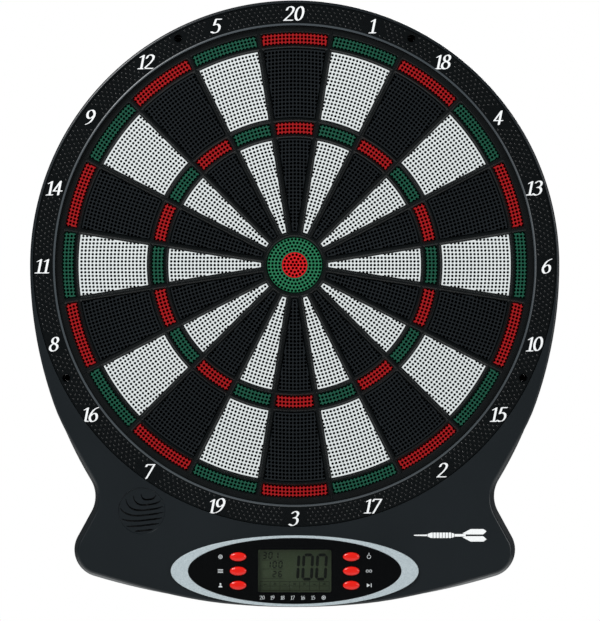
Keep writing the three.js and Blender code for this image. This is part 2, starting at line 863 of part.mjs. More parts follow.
function speakerCone() {
  const { x, y } = speakerCentre;
  const rim = coneSeat + fitGap;
  const base = coneFoot + fitGap;
  return turned(
    [
      [0, base],
      [magnetRadius - 5, base],
      [speakerRadius - 4.8, rim - 0.4],
      [speakerRadius - 2.4, rim],
      [speakerRadius - 2.4, rim + coneWall],
      [speakerRadius - 5.2, rim + coneWall - 0.1],
      [magnetRadius - 4, base + 1.2],
      [0, base + 2.6],
    ],
    speakerSides,
    x,
    y,
  );
}

// Leads from the circuit board's back to the loudspeaker and to the battery contacts.
const boardPad = (side) => [side * (boardWidth / 2 - leadStandOff - 2), panelY, boardDepth - fitGap];
const speakerEdge = polar(magnetRadius + leadStandOff, radians(-37)).add(speakerCentre);
const speakerTerminal = [speakerEdge.x, speakerEdge.y, speakerBack + 2];
const boxTerminal = [boxCentre.x - cavityWidth / 2 - boxWall - leadRadius - fitGap, boxCentre.y, cellAxis];

function midway(a, b, share, height) {
  return [a[0] + (b[0] - a[0]) * share, a[1] + (b[1] - a[1]) * share, height];
}

function speakerLead() {
  const end = boardPad(-1);
  const run = [0.2, 0.5, 0.8].map((share) => midway(speakerTerminal, end, share, boardDepth - 8));
  return lead([speakerTerminal, ...run, [end[0], end[1], boardDepth - 4], end]);
}

function batteryLead() {
  const end = boardPad(1);
  const run = [0.3, 0.7].map((share) => midway(boxTerminal, end, share, boardDepth - 9));
  return lead([boxTerminal, ...run, [end[0], end[1], boardDepth - 4], end]);
}

// ---------------------------------------------------------------- finishes

const finish = (color, roughness, metalness = 0) =>
  new THREE.MeshStandardMaterial({ color, roughness, metalness });

const shellBlack = finish(0x1b1f22, 0.5);
const ringBlack = finish(0x14171a, 0.45);
const webBlack = finish(0x101214, 0.4);
const tileBlack = finish(0x14171a, 0.5);
const tileWhite = finish(0xe9eeec, 0.5);
const tileRed = finish(0xc8141c, 0.45);
const tileGreen = finish(0x1f6e54, 0.45);
const coverBlack = finish(0x1a1c1e, 0.6);
const silver = finish(0xc3ccce, 0.35, 0.6);
const panelBlack = finish(0x08090a, 0.25);
const keyRed = finish(0xd8131a, 0.3);
const clear = finish(0xdfe6e4, 0.05);
const displayGrey = finish(0x4c5a4c, 0.3);
const rubberGrey = finish(0x3a3c3e, 0.8);
const filmAmber = finish(0xb9a98a, 0.4);
const hardboard = finish(0x6b4a2e, 0.8);
const boardGreen = finish(0x1c5a34, 0.5);
const steel = finish(0x9a9ea2, 0.35, 1);
const paperBlack = finish(0x25262a, 0.9);
const cellSleeve = finish(0x39546e, 0.35);
const leadGrey = finish(0x8a8d90, 0.6);

// ---------------------------------------------------------------- assembly

const board = new THREE.Group();
board.rotation.x = Math.PI / 2;

function place(name, solid, material) {
  const mesh = new THREE.Mesh(geometryFrom(solid), material);
  mesh.name = name;
  board.add(mesh);
}

place("front_shell", frontShell(), shellBlack);
place("number_ring", numberRing(), ringBlack);
place("spider", spider(), webBlack);
numbers.forEach((number, index) => {
  const name = `segment_${String(number).padStart(2, "0")}`;
  place(name, numberTiles(index), index % 2 ? tileWhite : tileBlack);
});
place("outer_bull", outerBull(), tileGreen);
place("bull", bull(), tileRed);
place("cushion_mat", disc(stackRadius, hiddenSides, matBack, matFront), rubberGrey);
place("switch_film", switchFilm(), filmAmber);
place(
  "backing_board",
  disc(stackRadius + 2, hiddenSides, backingBack, backingBack + backingThickness),
  hardboard,
);
place("rear_cover", rearCover(), coverBlack);
screwPlaces.forEach((p, i) => place(`cover_screw_${i + 1}`, coverScrew(p), steel));

place("silver_bezel", silverBezel(), silver);
place("control_panel", controlPanel(), panelBlack);
place(
  "display_window",
  block(displayWidth - 2 * fitGap, displayHeight - 2 * fitGap, windowThickness, 0, panelY, windowBack),
  clear,
);
place("display_glass", displayGlass(), displayGrey);
place("display_holder", displayHolder(), panelBlack);
place("main_board", mainBoard(), boardGreen);
const keyNames = ["left_top", "left_middle", "left_bottom", "right_top", "right_middle", "right_bottom"];
keyPlaces.forEach((p, i) => place(`key_${keyNames[i]}`, key(p), keyRed));
place("key_pad_left", keyPad(-1), rubberGrey);
place("key_pad_right", keyPad(1), rubberGrey);

place("speaker_frame", speakerFrame(), steel);
place("speaker_cone", speakerCone(), paperBlack);
place("speaker_lead", speakerLead(), leadGrey);

place("battery_door", batteryDoor(), coverBlack);
[0, 1, 2].forEach((row) => place(`battery_${row + 1}`, cell(row), cellSleeve));
place("contact_strip_left", contactStrip(-1), steel);
place("contact_strip_right", contactStrip(1), steel);
place("battery_lead", batteryLead(), leadGrey);

export default board;
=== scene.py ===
import math

import bmesh
import bpy
from mathutils import Matrix, Vector


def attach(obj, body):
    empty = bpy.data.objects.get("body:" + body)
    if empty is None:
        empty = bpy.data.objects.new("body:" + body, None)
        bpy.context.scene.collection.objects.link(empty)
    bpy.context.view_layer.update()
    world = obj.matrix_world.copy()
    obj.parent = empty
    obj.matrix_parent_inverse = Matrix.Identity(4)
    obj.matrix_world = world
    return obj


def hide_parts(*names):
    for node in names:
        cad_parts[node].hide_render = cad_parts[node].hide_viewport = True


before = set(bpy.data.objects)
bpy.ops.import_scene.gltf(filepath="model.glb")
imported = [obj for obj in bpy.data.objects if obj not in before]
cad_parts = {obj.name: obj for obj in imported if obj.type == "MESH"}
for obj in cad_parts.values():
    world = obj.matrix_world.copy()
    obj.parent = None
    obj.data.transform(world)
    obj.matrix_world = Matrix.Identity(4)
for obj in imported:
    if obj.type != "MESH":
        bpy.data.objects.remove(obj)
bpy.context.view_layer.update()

# --------------------------------------
# The room: a pale floor at the height a board is hung above, a white surround that lights it
# softly but hardly shows in gloss, a lamp above and to the left, and a weaker one on the right.
# --------------------------------------
bull_height = 1.73


def linear(colour):
    """An sRGB hex colour as linear red, green, blue and alpha."""
    shares = [int(colour[i : i + 2], 16) / 255 for i in (1, 3, 5)]
    return [s / 12.92 if s <= 0.04045 else ((s + 0.055) / 1.055) ** 2.4 for s in shares] + [1]


def add_node(tree, kind, inputs=(), **settings):
    """Adds a node with its settings. An input is a value, or the output that it is linked to."""
    node = tree.nodes.new(kind)
    for name, value in settings.items():
        setattr(node, name, value)
    for name, value in dict(inputs).items():
        if isinstance(value, bpy.types.NodeSocket):
            tree.links.new(value, node.inputs[name])
        else:
            node.inputs[name].default_value = value
    return node


def bare_tree(owner):
    """The node tree of a material or a world, emptied."""
    owner.use_nodes = True
    owner.node_tree.nodes.clear()
    return owner.node_tree


def new_material(name):
    """An empty material, its node tree, and the place of a point on the piece it is on."""
    material = bpy.data.materials.new(name)
    tree = bare_tree(material)
    return material, tree, add_node(tree, "ShaderNodeTexCoord").outputs["Object"]


def deselect():
    bpy.ops.object.select_all(action="DESELECT")


deselect()
bpy.ops.mesh.primitive_plane_add(size=14, location=(0, 0, -bull_height))
floor = bpy.context.object
floor.name = "floor"

# Matt painted floor: very pale grey, with a slow mottling half a metre wide.
paint, tree, place = new_material("matt_floor_paint")
mottle = add_node(tree, "ShaderNodeTexNoise", {"Vector": place, "Scale": 1 / 0.5})
tints = {"Factor": mottle.outputs["Fac"], 6: linear("#ECECEA"), 7: linear("#F4F4F3")}
tone = add_node(tree, "ShaderNodeMix", tints, data_type="RGBA")
coat = add_node(tree, "ShaderNodeBsdfPrincipled", {"Base Color": tone.outputs[2], "Roughness": 0.9})
add_node(tree, "ShaderNodeOutputMaterial", {"Surface": coat.outputs[0]})
floor.data.materials.append(paint)

surround = bpy.data.worlds.new("white_surround")
bpy.context.scene.world = surround
tree = bare_tree(surround)
seen = add_node(tree, "ShaderNodeLightPath")
backdrop = add_node(tree, "ShaderNodeBackground", {"Color": (1, 1, 1, 1), "Strength": 1.0})
spread = {"Value": seen.outputs["Is Diffuse Ray"], "To Min": 0.04, "To Max": 0.46}
strength = add_node(tree, "ShaderNodeMapRange", spread).outputs["Result"]
glow = add_node(tree, "ShaderNodeBackground", {"Color": (0.93, 0.97, 1, 1), "Strength": strength})
both = {0: seen.outputs["Is Camera Ray"], 1: glow.outputs[0], 2: backdrop.outputs[0]}
either = add_node(tree, "ShaderNodeMixShader", both)
add_node(tree, "ShaderNodeOutputWorld", {"Surface": either.outputs[0]})


def lamp(name, place, aim, size, power):
    """A square soft lamp at a place, turned to face a point."""
    bpy.ops.object.light_add(type="AREA", location=place)
    light = bpy.context.object
    light.name = name
    light.rotation_mode = "QUATERNION"
    light.rotation_quaternion = (Vector(aim) - Vector(place)).to_track_quat("-Z", "Y")
    light.data.size = size
    light.data.energy = power


board_middle = (0, 0, -0.03)
lamp("key_lamp", (-1.5, -1.9, 1.7), board_middle, 1.0, 60)
lamp("fill_lamp", (2.2, -1.9, 0.4), board_middle, 1.6, 20)
lamp("back_lamp", (0.9, 2.4, 1.5), board_middle, 1.4, 55)

bpy.ops.object.camera_add(location=(0.0045, -3.034, -0.0386), rotation=(math.pi / 2, 0, 0))
camera = bpy.context.object
camera.data.sensor_width = 36
camera.data.lens = 204.9
bpy.context.scene.camera = camera
bpy.context.scene.view_settings.view_transform = "Standard"

# --------------------------------------
# The cabinet's front: one injection moulding in black ABS, a disc with a wider base below it. A
# shelf behind the round opening carries the number ring, and screws from the back close it.
# --------------------------------------
ring_inner, ring_outer = 203.6, 222.0
body_radius = 225.8
base_bottom = -291.5
panel_y = base_bottom + 31.9
body_depth = 34.0
face_back = 31.4
wall = 2.6
gap = 0.3
shelf_front = 30.5


def polar(radius, turn):
    """The point at a radius from the bull, turned anticlockwise from the right."""
    return (radius * math.cos(turn), radius * math.sin(turn))


screw_circle = 216.5
fixing_places = [polar(screw_circle, math.radians(a)) for a in (62.8, 117.2, 206.3, 333.7)]
cover_screws = [polar(screw_circle, math.radians(a)) for a in (90, 20, 160)]
cover_screws += [(side * x, y) for x, y in ((174.0, -243.5), (84.0, -276.0)) for side in (-1, 1)]
key_column, key_row = 48.0, 12.1
key_heights = [panel_y + row * key_row for row in (1, 0, -1)]
key_places = [(side * key_column, height) for side in (-1, 1) for height in key_heights]
key_hole_width, key_hole_height = 7.4, 4.15
speaker_centre = polar(ring_outer + 23.8, math.radians(238.1))
speaker_radius = 20.0


def arc(centre, radius, start, end, step, outwards=1):
    """Points on an arc, each with the way out of the outline there."""
    count = max(2, math.ceil(abs(end - start) / step))
    turns = [start + (end - start) * i / count for i in range(count + 1)]
    return [
        (
            centre[0] + radius * math.cos(t),
            centre[1] + radius * math.sin(t),
            outwards * math.cos(t),
            outwards * math.sin(t),
        )
        for t in turns
    ]


def cabinet_edge():
    """The cabinet's outline: disc, flanks, waists, corners and low front edge, each an arc."""
    waist_radius, corner_radius, corner_rise = 27.0, 23.5, 48.0
    waist = (body_radius - 54.9 + waist_radius, base_bottom + 93.8)
    across = waist_radius - 54.9
    flank_radius = (waist[1] ** 2 + across**2 - waist_radius**2) / (2 * (waist_radius - across))
    flank = (body_radius - flank_radius, 0)
    corner = (body_radius - 36.9 - corner_radius, base_bottom + corner_rise)
    low_radius = (corner[0] ** 2 + corner_rise**2 - corner_radius**2) / (
        2 * (corner_rise - corner_radius)
    )
    low = (0, base_bottom + low_radius)
    flank_end = math.atan2(waist[1] - flank[1], waist[0] - flank[0])
    reach = (corner[0] - waist[0], corner[1] - waist[1])
    lean = math.acos((waist_radius + corner_radius) / math.hypot(*reach))
    tangent = math.atan2(reach[1], reach[0]) % (2 * math.pi) - lean
    low_start = math.atan2(corner[1] - low[1], corner[0] - low[0])
    degree = math.pi / 180
    right = arc((0, 0), body_radius, math.pi / 2, 0, 1.5 * degree)
    right += arc(flank, flank_radius, 0, flank_end, 1.5 * degree)[1:]
    right += arc(waist, waist_radius, flank_end + math.pi, tangent, 4 * degree, -1)[1:]
    right += arc(corner, corner_radius, tangent - math.pi, low_start, 4 * degree)
    right += arc(low, low_radius, low_start, -math.pi / 2, 1 * degree)[1:]
    left = [(-x, y, -nx, ny) for x, y, nx, ny in right[1:-1]]
    return right + left[::-1]


outline = cabinet_edge()


def smooth_step(low, high, value):
    share = min(1, max(0, (value - low) / (high - low)))
    return share * share * (3 - 2 * share)


def cabinet_ring(inset, height, flare=0.0):
    """The outline drawn in by an inset, and by the flare as well where the base's sides slope."""
    ring = []
    for x, y, nx, ny in outline:
        side = smooth_step(120, 175, -y) * smooth_step(60, 165, abs(x))
        depth = inset + flare * side
        ring.append((x - nx * depth, y - ny * depth, height))
    return ring


def round_ring(radius, height, sides, x=0.0, y=0.0, squash=1.0):
    return [
        (
            x + radius * math.cos(2 * math.pi * i / sides),
            y + radius * squash * math.sin(2 * math.pi * i / sides),
            height,
        )
        for i in range(sides)
    ]


def close_up(threshold):
    """Merges doubled points in edit mode, turns the faces outwards and leaves edit mode."""
    bpy.ops.mesh.select_all(action="SELECT")
    bpy.ops.mesh.remove_doubles(threshold=threshold)
    bpy.ops.mesh.normals_make_consistent(inside=False)
    bpy.ops.object.mode_set(mode="OBJECT")


def loft(name, rings, hollow=False):
    """A circle drawn out through rings of points; a hollow one ends on its first ring again."""
    deselect()
    bpy.ops.mesh.primitive_circle_add(
        vertices=len(rings[0]), fill_type="NOTHING" if hollow else "NGON"
    )
    piece = bpy.context.object
    piece.name = piece.data.name = name
    for vertex, point in zip(piece.data.vertices, rings[0]):
        vertex.co = point
    bpy.ops.object.mode_set(mode="EDIT")
    bpy.ops.mesh.select_all(action="SELECT")
    for ring in rings[1:]:
        if hollow:
            bpy.ops.mesh.extrude_edges_move()
        else:
            bpy.ops.mesh.extrude_region_move()
        drawn = bmesh.from_edit_mesh(piece.data)
        ends = [v for v in drawn.verts if v.select]
        for vertex, point in zip(ends, ring):
            vertex.co = point
        bmesh.update_edit_mesh(piece.data)
    close_up(0.0005)
    return piece


def turned(name, profile, sides, x=0.0, y=0.0, hollow=False):
    """A round piece from its profile of (radius, height) pairs."""
    return loft(name, [round_ring(r, z, sides, x, y) for r, z in profile], hollow)


def prism(name, points, back, front):
    return loft(name, [[(x, y, z) for x, y in points] for z in (back, front)])


def rectangle(width, height, x=0.0, y=0.0, corner=0.0, steps=4):
    """A rectangle's outline, with rounded corners where a corner radius is given."""
    points = []
    for quarter, (sx, sy) in enumerate(((1, 1), (-1, 1), (-1, -1), (1, -1))):
        cx = x + sx * (width / 2 - corner)
        cy = y + sy * (height / 2 - corner)
        for i in range(steps + 1 if corner else 1):
            t = math.pi / 2 * (quarter + (i / steps if corner else 0))
            points.append((cx + corner * math.cos(t), cy + corner * math.sin(t)))
    return points


def pick(*pieces):
    """Selects these pieces only, and works on the first."""
    deselect()
    for piece in pieces:
        piece.select_set(True)
    bpy.context.view_layer.objects.active = pieces[0]


def cut(piece, tool, operation="DIFFERENCE"):
    """Cuts, joins or trims the piece with a tool, and throws the tool away."""
    pick(piece)
    shears = piece.modifiers.new("cut", "BOOLEAN")
    shears.operation = operation
    shears.solver = "MANIFOLD"
    shears.object = tool
    bpy.ops.object.modifier_apply(modifier=shears.name)
    bpy.data.objects.remove(tool, do_unlink=True)
    return piece


def gathered(name, pieces):
    """Joins pieces that don't touch into one object."""
    pick(*pieces)
    if len(pieces) > 1:
        bpy.ops.object.join()
    pieces[0].name = pieces[0].data.name = name
    return pieces[0]


def stand_up(piece, material, smooth=35):
    """Turns a flat piece in millimetres into the frame's place and metres, and finishes it."""
    pick(piece)
    piece.scale = (0.001, 0.001, 0.001)
    piece.rotation_euler = (math.pi / 2, 0, 0)
    bpy.ops.object.transform_apply(location=True, rotation=True, scale=True)
    bpy.ops.object.shade_smooth_by_angle(angle=math.radians(smooth))
    even = piece.modifiers.new("even", "WEIGHTED_NORMAL")
    even.keep_sharp = True
    bpy.ops.object.modifier_apply(modifier=even.name)
    piece.data.materials.clear()
    piece.data.materials.append(material)
    return piece


def moulded_plastic(name, colour, shade, roughness, grain, relief):
    """A moulded plastic: slow drift between two tints, and a spark-eroded grain of a real size.
    grain is the grain's width and relief its depth, both in millimetres."""
    material, tree, place = new_material(name)
    drift = add_node(tree, "ShaderNodeTexNoise", {"Vector": place, "Scale": 1 / 0.06, "Detail": 2})
    tints = {"Factor": drift.outputs["Fac"], 6: linear(colour), 7: linear(shade)}
    tint = add_node(tree, "ShaderNodeMix", tints, data_type="RGBA")
    grained = {"Vector": place, "Scale": 1000 / grain, "Detail": 3}
    pits = add_node(tree, "ShaderNodeTexNoise", grained).outputs["Fac"]
    spread = {"Value": pits, "To Min": roughness - 0.06, "To Max": roughness + 0.06}
    gloss = add_node(tree, "ShaderNodeMapRange", spread)
    pitted = {"Height": pits, "Strength": 0.6, "Distance": relief / 1000}
    bump = add_node(tree, "ShaderNodeBump", pitted)
    surface = {"Base Color": tint.outputs[2], "Roughness": gloss.outputs["Result"]}
    surface |= {"Normal": bump.outputs["Normal"], "IOR": 1.53}
    shader = add_node(tree, "ShaderNodeBsdfPrincipled", surface)
    add_node(tree, "ShaderNodeOutputMaterial", {"Surface": shader.outputs[0]})
    return material


# Black ABS from a spark-eroded mould: charcoal with a blue cast and a soft satin sheen.
shell_plastic = moulded_plastic("black_abs_satin", "#12181B", "#191F23", 0.3, 0.5, 0.012)

edge_steps = 6
draft, edge = 1.0, 2.0
shell_rings = [cabinet_ring(0, 0), cabinet_ring(0, 4.0), cabinet_ring(0.1, 7.0, 0.4)]
shell_rings.append(cabinet_ring(draft, body_depth - edge, 3.2))
for step in range(1, edge_steps + 1):
    turn = math.pi / 2 * step / edge_steps
    inset = draft + edge * (1 - math.cos(turn))
    shell_rings.append(cabinet_ring(inset, body_depth - edge + edge * math.sin(turn), 3.2))
cabinet_front = loft("cabinet_front", shell_rings)

hollow = loft(
    "hollow",
    [cabinet_ring(wall, -1), cabinet_ring(wall, 5), cabinet_ring(wall + draft, face_back, 3.2)],
)
ring_seat = ring_outer + gap
cut(hollow, turned("shelf", [(ring_seat + wall, 28.3), (ring_seat + wall, 36)], 240))
cut(cabinet_front, hollow)
for x, y in cover_screws:
    cut(cabinet_front, turned("boss", [(3.8, 5.4), (3.6, face_back + 0.5)], 24, x, y), "UNION")
for x, y in fixing_places:
    cut(cabinet_front, turned("tube", [(5.2, 2.7), (5.2, 30)], 24, x, y), "UNION")
for x, y in [(sx * 66.5, panel_y + sy * 16.5) for sx in (-1, 1) for sy in (-1, 1)]:
    cut(cabinet_front, turned("post", [(2.6, 22), (2.6, face_back + 0.5)], 20, x, y), "UNION")
cut(cabinet_front, turned("seat", [(ring_seat, shelf_front), (ring_seat, 36)], 240))
cut(cabinet_front, turned("opening", [(ring_inner, -1), (ring_inner, 36)], 240))
for x, y in fixing_places:
    cut(cabinet_front, turned("hole", [(3.2, -1), (3.2, 36)], 24, x, y))
for x, y in cover_screws:
    cut(cabinet_front, turned("hole", [(1.5, 0), (1.5, 17.4)], 16, x, y))
cut(cabinet_front, prism("window_hole", rectangle(64, 38, 0, panel_y), 25, 36))
for x, y in key_places:
    squash = key_hole_height / key_hole_width
    key_hole = [round_ring(key_hole_width, z, 32, x, y, squash) for z in (25, 36)]
    cut(cabinet_front, loft("key_hole", key_hole))
recess = [(speaker_radius - 0.5, 33.2), (speaker_radius, 34.0), (speaker_radius + 0.5, 34.6)]
cut(cabinet_front, turned("grille_recess", recess, 96, *speaker_centre))

slot_width = 1.5
for k in range(7):
    half_width, half_height = 0.34 + 0.33 * k, 0.5 + 0.215 * k

    def slot_line(u):
        across = min(1, abs((u - 0.3) / half_width))
        return 0.98 - half_height * (1 - across**3) ** (1 / 3) + 0.12 * (u - 0.3)

    inside = [
        u / 100
        for u in range(-95, 96)
        if abs(u / 100 - 0.3) < half_width * 0.99 and math.hypot(u / 100, slot_line(u / 100)) < 0.92
    ]
    middle = []
    for i in range(25):
        u = inside[0] + (inside[-1] - inside[0]) * i / 24
        middle.append(Vector((u, slot_line(u))) * speaker_radius + Vector(speaker_centre))
    sides = ([], [])
    for i, point in enumerate(middle):
        along = (middle[min(24, i + 1)] - middle[max(0, i - 1)]).normalized()
        width = slot_width * (0.35 + 0.65 * min(1, i / 4, (24 - i) / 4))
        across = Vector((-along.y, along.x)) * width / 2
        sides[0].append(point + across)
        sides[1].append(point - across)
    cut(cabinet_front, prism("slot", sides[0] + sides[1][::-1], 25, 36))
stand_up(cabinet_front, shell_plastic)
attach(cabinet_front, "cabinet")
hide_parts("front_shell")

# --------------------------------------
# The number ring: a flat moulded ring laid on the cabinet's shelf, with five staggered rows of
# small raised pips, four holes for the wall screws, and a polished bead round its inner edge.
# --------------------------------------
ring_back, ring_face = 30.8, 33.2
numbers = (20, 1, 18, 4, 13, 6, 10, 15, 2, 17, 3, 19, 7, 16, 8, 11, 14, 9, 12, 5)
number_circle, number_shift = 214.3, (-0.3, -0.7)
number_places = [
    (
        number_shift[0] + number_circle * math.sin(2 * math.pi * i / 20),
        number_shift[1] + number_circle * math.cos(2 * math.pi * i / 20),
    )
    for i in range(20)
]
# The 7 is printed a little off its place, towards the middle of the base.
seven = numbers.index(7)
number_places[seven] = (number_places[seven][0] + 2.5, number_places[seven][1] - 1.0)


def copied(original, name):
    copy = original.copy()
    copy.data = original.data.copy()
    copy.name = copy.data.name = name
    bpy.context.collection.objects.link(copy)
    return copy


def around(radius, count, shift=0.0):
    """Places (x, y, turn) evenly round the bull, shifted by a share of the space between."""
    turns = [2 * math.pi * (i + shift) / count for i in range(count)]
    return [(*polar(radius, turn), turn) for turn in turns]


def repeated(original, places):
    """The piece again at each (x, y, turn), all in one mesh."""
    pattern = bmesh.new()
    for x, y, turn in places:
        copy = original.data.copy()
        copy.transform(Matrix.Translation((x, y, 0)) @ Matrix.Rotation(turn, 4, "Z"))
        pattern.from_mesh(copy)
        bpy.data.meshes.remove(copy)
    pattern.to_mesh(original.data)
    pattern.free()
    return original


# Black ABS with a coarser grain than the cabinet's, so it looks duller and a little darker.
ring_plastic = moulded_plastic("black_abs_grained", "#06090A", "#0A0E10", 0.22, 1.1, 0.03)

ring_profile = [(ring_inner, ring_back), (ring_outer, ring_back), (ring_outer, 32.9)]
ring_profile += [(ring_outer - 0.3, ring_face), (ring_inner, ring_face)]
number_plate = turned("number_plate", ring_profile + ring_profile[:1], 288, hollow=True)
pips = []
first_row, row_pitch, pips_round = 207.3, 3.1, 300
for row in range(5):
    for x, y, turn in around(first_row + row_pitch * row, pips_round, row / 2):
        near_number = any(abs(x - nx) < 9.8 and abs(y - ny) < 8 for nx, ny in number_places)
        near_hole = any(math.hypot(x - hx, y - hy) < 5.4 for hx, hy in fixing_places)
        if not near_number and not near_hole:
            pips.append((x, y, turn))
pip_profile = [(0.75, ring_face - 0.3), (0.75, ring_face), (0.6, ring_face + 0.12)]
pip = turned("pip", pip_profile + [(0.32, ring_face + 0.22)], 8)
cut(number_plate, repeated(pip, pips), "UNION")
for x, y in fixing_places:
    cut(number_plate, turned("hole", [(3.2, 30), (3.2, 32.6), (4.0, 33.5)], 24, x, y))
stand_up(number_plate, ring_plastic)
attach(number_plate, "cabinet")
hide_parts("number_ring")

# Charcoal ABS coloured greyer than the ring as a painted highlight for the line of light along the
# bead; the lamp also puts a real line of light on its round top.
bead_painted_highlight = moulded_plastic("black_abs_bead_painted_highlight", "#3A4044", "#454C50", 0.3, 0.5, 0.002)
bead_section = ((0, 0.05), (1.7, 0.05), (1.35, 0.3), (0.85, 0.46), (0.4, 0.5), (0, 0.42))
bead_profile = [(ring_inner + across, ring_face + rise) for across, rise in bead_section]
ring_bead = turned("ring_bead", bead_profile + bead_profile[:1], 288, hollow=True)
stand_up(ring_bead, bead_painted_highlight, 60)
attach(ring_bead, "cabinet")

# --------------------------------------
# The numerals: white ink, pad-printed on the ring. Each is drawn upright in slanting strokes with
# a broad pen held at an angle, thick down and thin across, as a sign painter's are.
# --------------------------------------
numeral_height = 13.3
numeral_slant = 0.2
ink_height = 0.12


def flowing(points, steps=6, closed=False):
    """Points along a smooth line through the given ones."""
    count = len(points)
    spans = range(count if closed else count - 1)
    line = []
    for i in spans:
        if closed:
            a, b, c, d = (Vector(points[(i + k) % count]) for k in (-1, 0, 1, 2))
        else:
            a, b, c, d = (Vector(points[min(count - 1, max(0, i + k))]) for k in (-1, 0, 1, 2))
        for step in range(steps):
            t = step / steps
            line.append(
                0.5
                * (
                    2 * b
                    + (c - a) * t
                    + (2 * a - 5 * b + 4 * c - d) * t * t
                    + (3 * b - a - 3 * c + d) * t**3
                )
            )
    line.append(Vector(points[0] if closed else points[-1]))
    return line


def oval_line(x, y, wide, high, sides=18):
    turns = [2 * math.pi * i / sides for i in range(sides + 1)]
    return [Vector((x + wide * math.cos(t), y + high * math.sin(t))) for t in turns]


def straight(*points):
    return [Vector(p) for p in points]


six = [(0.5, 0.93), (0.27, 0.79), (0.12, 0.52), (0.09, 0.26), (0.2, 0.07), (0.35, 0.04)]
six += [(0.5, 0.14), (0.53, 0.34), (0.44, 0.52), (0.28, 0.54), (0.13, 0.4)]
digit_strokes = {
    "0": [oval_line(0.31, 0.5, 0.23, 0.43)],
    "1": [straight((0.12, 0.78), (0.3, 0.9), (0.3, 0.06)), straight((0.12, 0.05), (0.48, 0.05))],
    "2": [
        flowing([(0.08, 0.72), (0.15, 0.88), (0.32, 0.93), (0.49, 0.83), (0.49, 0.64)])
        + flowing([(0.49, 0.64), (0.36, 0.42), (0.18, 0.22), (0.05, 0.06)]),
        straight((0.05, 0.07), (0.56, 0.07)),
    ],
    "3": [
        flowing([(0.1, 0.82), (0.22, 0.92), (0.38, 0.91), (0.48, 0.78), (0.42, 0.6), (0.25, 0.53)]),
        flowing(
            [(0.25, 0.53), (0.44, 0.5), (0.53, 0.32), (0.45, 0.12), (0.25, 0.04), (0.05, 0.12)]
        ),
    ],
    "4": [straight((0.4, 0.92), (0.06, 0.3), (0.58, 0.3)), straight((0.4, 0.92), (0.4, 0.05))],
    "5": [
        straight((0.52, 0.92), (0.2, 0.92), (0.14, 0.54)),
        flowing([(0.14, 0.54), (0.32, 0.6), (0.48, 0.5), (0.52, 0.3), (0.42, 0.1), (0.22, 0.04)])
        + flowing([(0.22, 0.04), (0.05, 0.11)]),
    ],
    "6": [flowing(six)],
    "7": [straight((0.07, 0.8), (0.1, 0.92), (0.56, 0.92)), straight((0.56, 0.92), (0.22, 0.04))],
    "8": [oval_line(0.31, 0.72, 0.18, 0.2), oval_line(0.3, 0.27, 0.23, 0.23)],
    "9": [flowing([(0.62 - x, 1 - y) for x, y in six])],
}
# The pen's nib is a slim oval, held a little turned.
nib_turn = 0.3
nib = [
    Matrix.Rotation(nib_turn, 2) @ Vector((0.072 * math.cos(t), 0.025 * math.sin(t)))
    for t in [2 * math.pi * i / 10 for i in range(10)]
]


def hull(points):
    """The tight outline round a few points."""
    points = sorted((p.x, p.y) for p in points)
    chains = []
    for sweep in (points, points[::-1]):
        chain = []
        for p in sweep:
            while len(chain) > 1:
                (ax, ay), (bx, by) = chain[-2:]
                if (bx - ax) * (p[1] - ay) - (by - ay) * (p[0] - ax) > 1e-9:
                    break
                chain.pop()
            chain.append(p)
        chains += chain[:-1]
    return chains


def penned(name, strokes, back, front, size, slant, weight=1.0):
    """Strokes of the pen, joined into one flat solid."""
    solid = None
    for stroke in strokes:
        for start, end in zip(stroke, stroke[1:]):
            corners = hull([p + n * weight for p in (start, end) for n in nib])
            dab = prism(name, [((x + slant * y) * size, y * size) for x, y in corners], back, front)
            solid = dab if solid is None else cut(solid, dab, "UNION")
    return solid


# White printing ink: a thin, slightly glossy film, a shade off pure white where it is thinner.
white_ink = moulded_plastic("white_printing_ink", "#F4F6F6", "#FAFBFB", 0.45, 0.6, 0.004)

digits = {}
for digit, strokes in digit_strokes.items():
    digits[digit] = penned(
        "digit", strokes, ring_face + 0.02, ring_face + ink_height, numeral_height, numeral_slant
    )
digit_advance = {digit: 0.62 for digit in digits}
digit_advance["1"] = 0.45
for number, (x, y) in zip(numbers, number_places):
    letters = str(number)
    width = sum(digit_advance[letter] for letter in letters)
    start = x - (width / 2 + numeral_slant / 2) * numeral_height + 0.2
    written = []
    for letter in letters:
        copy = copied(digits[letter], "letter")
        copy.location = (start, y - numeral_height / 2, 0)
        written.append(copy)
        start += digit_advance[letter] * numeral_height
    pick(*written)
    bpy.ops.object.transform_apply(location=True, rotation=True, scale=True)
    numeral = gathered(f"numeral_{number:02d}", written)
    stand_up(numeral, white_ink)
    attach(numeral, "cabinet")
for digit in digits.values():
    bpy.data.objects.remove(digit, do_unlink=True)

# --------------------------------------
# The spider: one black moulding whose ribs stand between all the tiles and guide them. Its ribs
# have sloping sides and narrow crests, and its rim steps down outside the doubles.
# --------------------------------------
tile_rings = {
    "inner_single": (28.7, 107.3),
    "triple": (111.8, 121.2),
    "outer_single": (125.7, 183.6),
    "double": (188.1, 197.0),
}
side_offset = 2.8
tile_clearance = 0.4
rim_radius = 203.3
crest, rim_front, spider_back = 31.2, 30.6, 15.5
rib_slope = 1.75


def sector(inner, outer, offset, middle=math.pi / 2, steps=14):
    """The outline of a tile between two radii, its sides a distance from the lines between."""
    half = [math.pi / 20 - math.asin(offset / r) for r in (inner, outer)]
    far = [middle - half[1] + 2 * half[1] * i / steps for i in range(steps + 1)]
    near = [middle + half[0] - 2 * half[0] * i / steps for i in range(steps + 1)]
    return [polar(outer, t) for t in far] + [polar(inner, t) for t in near]


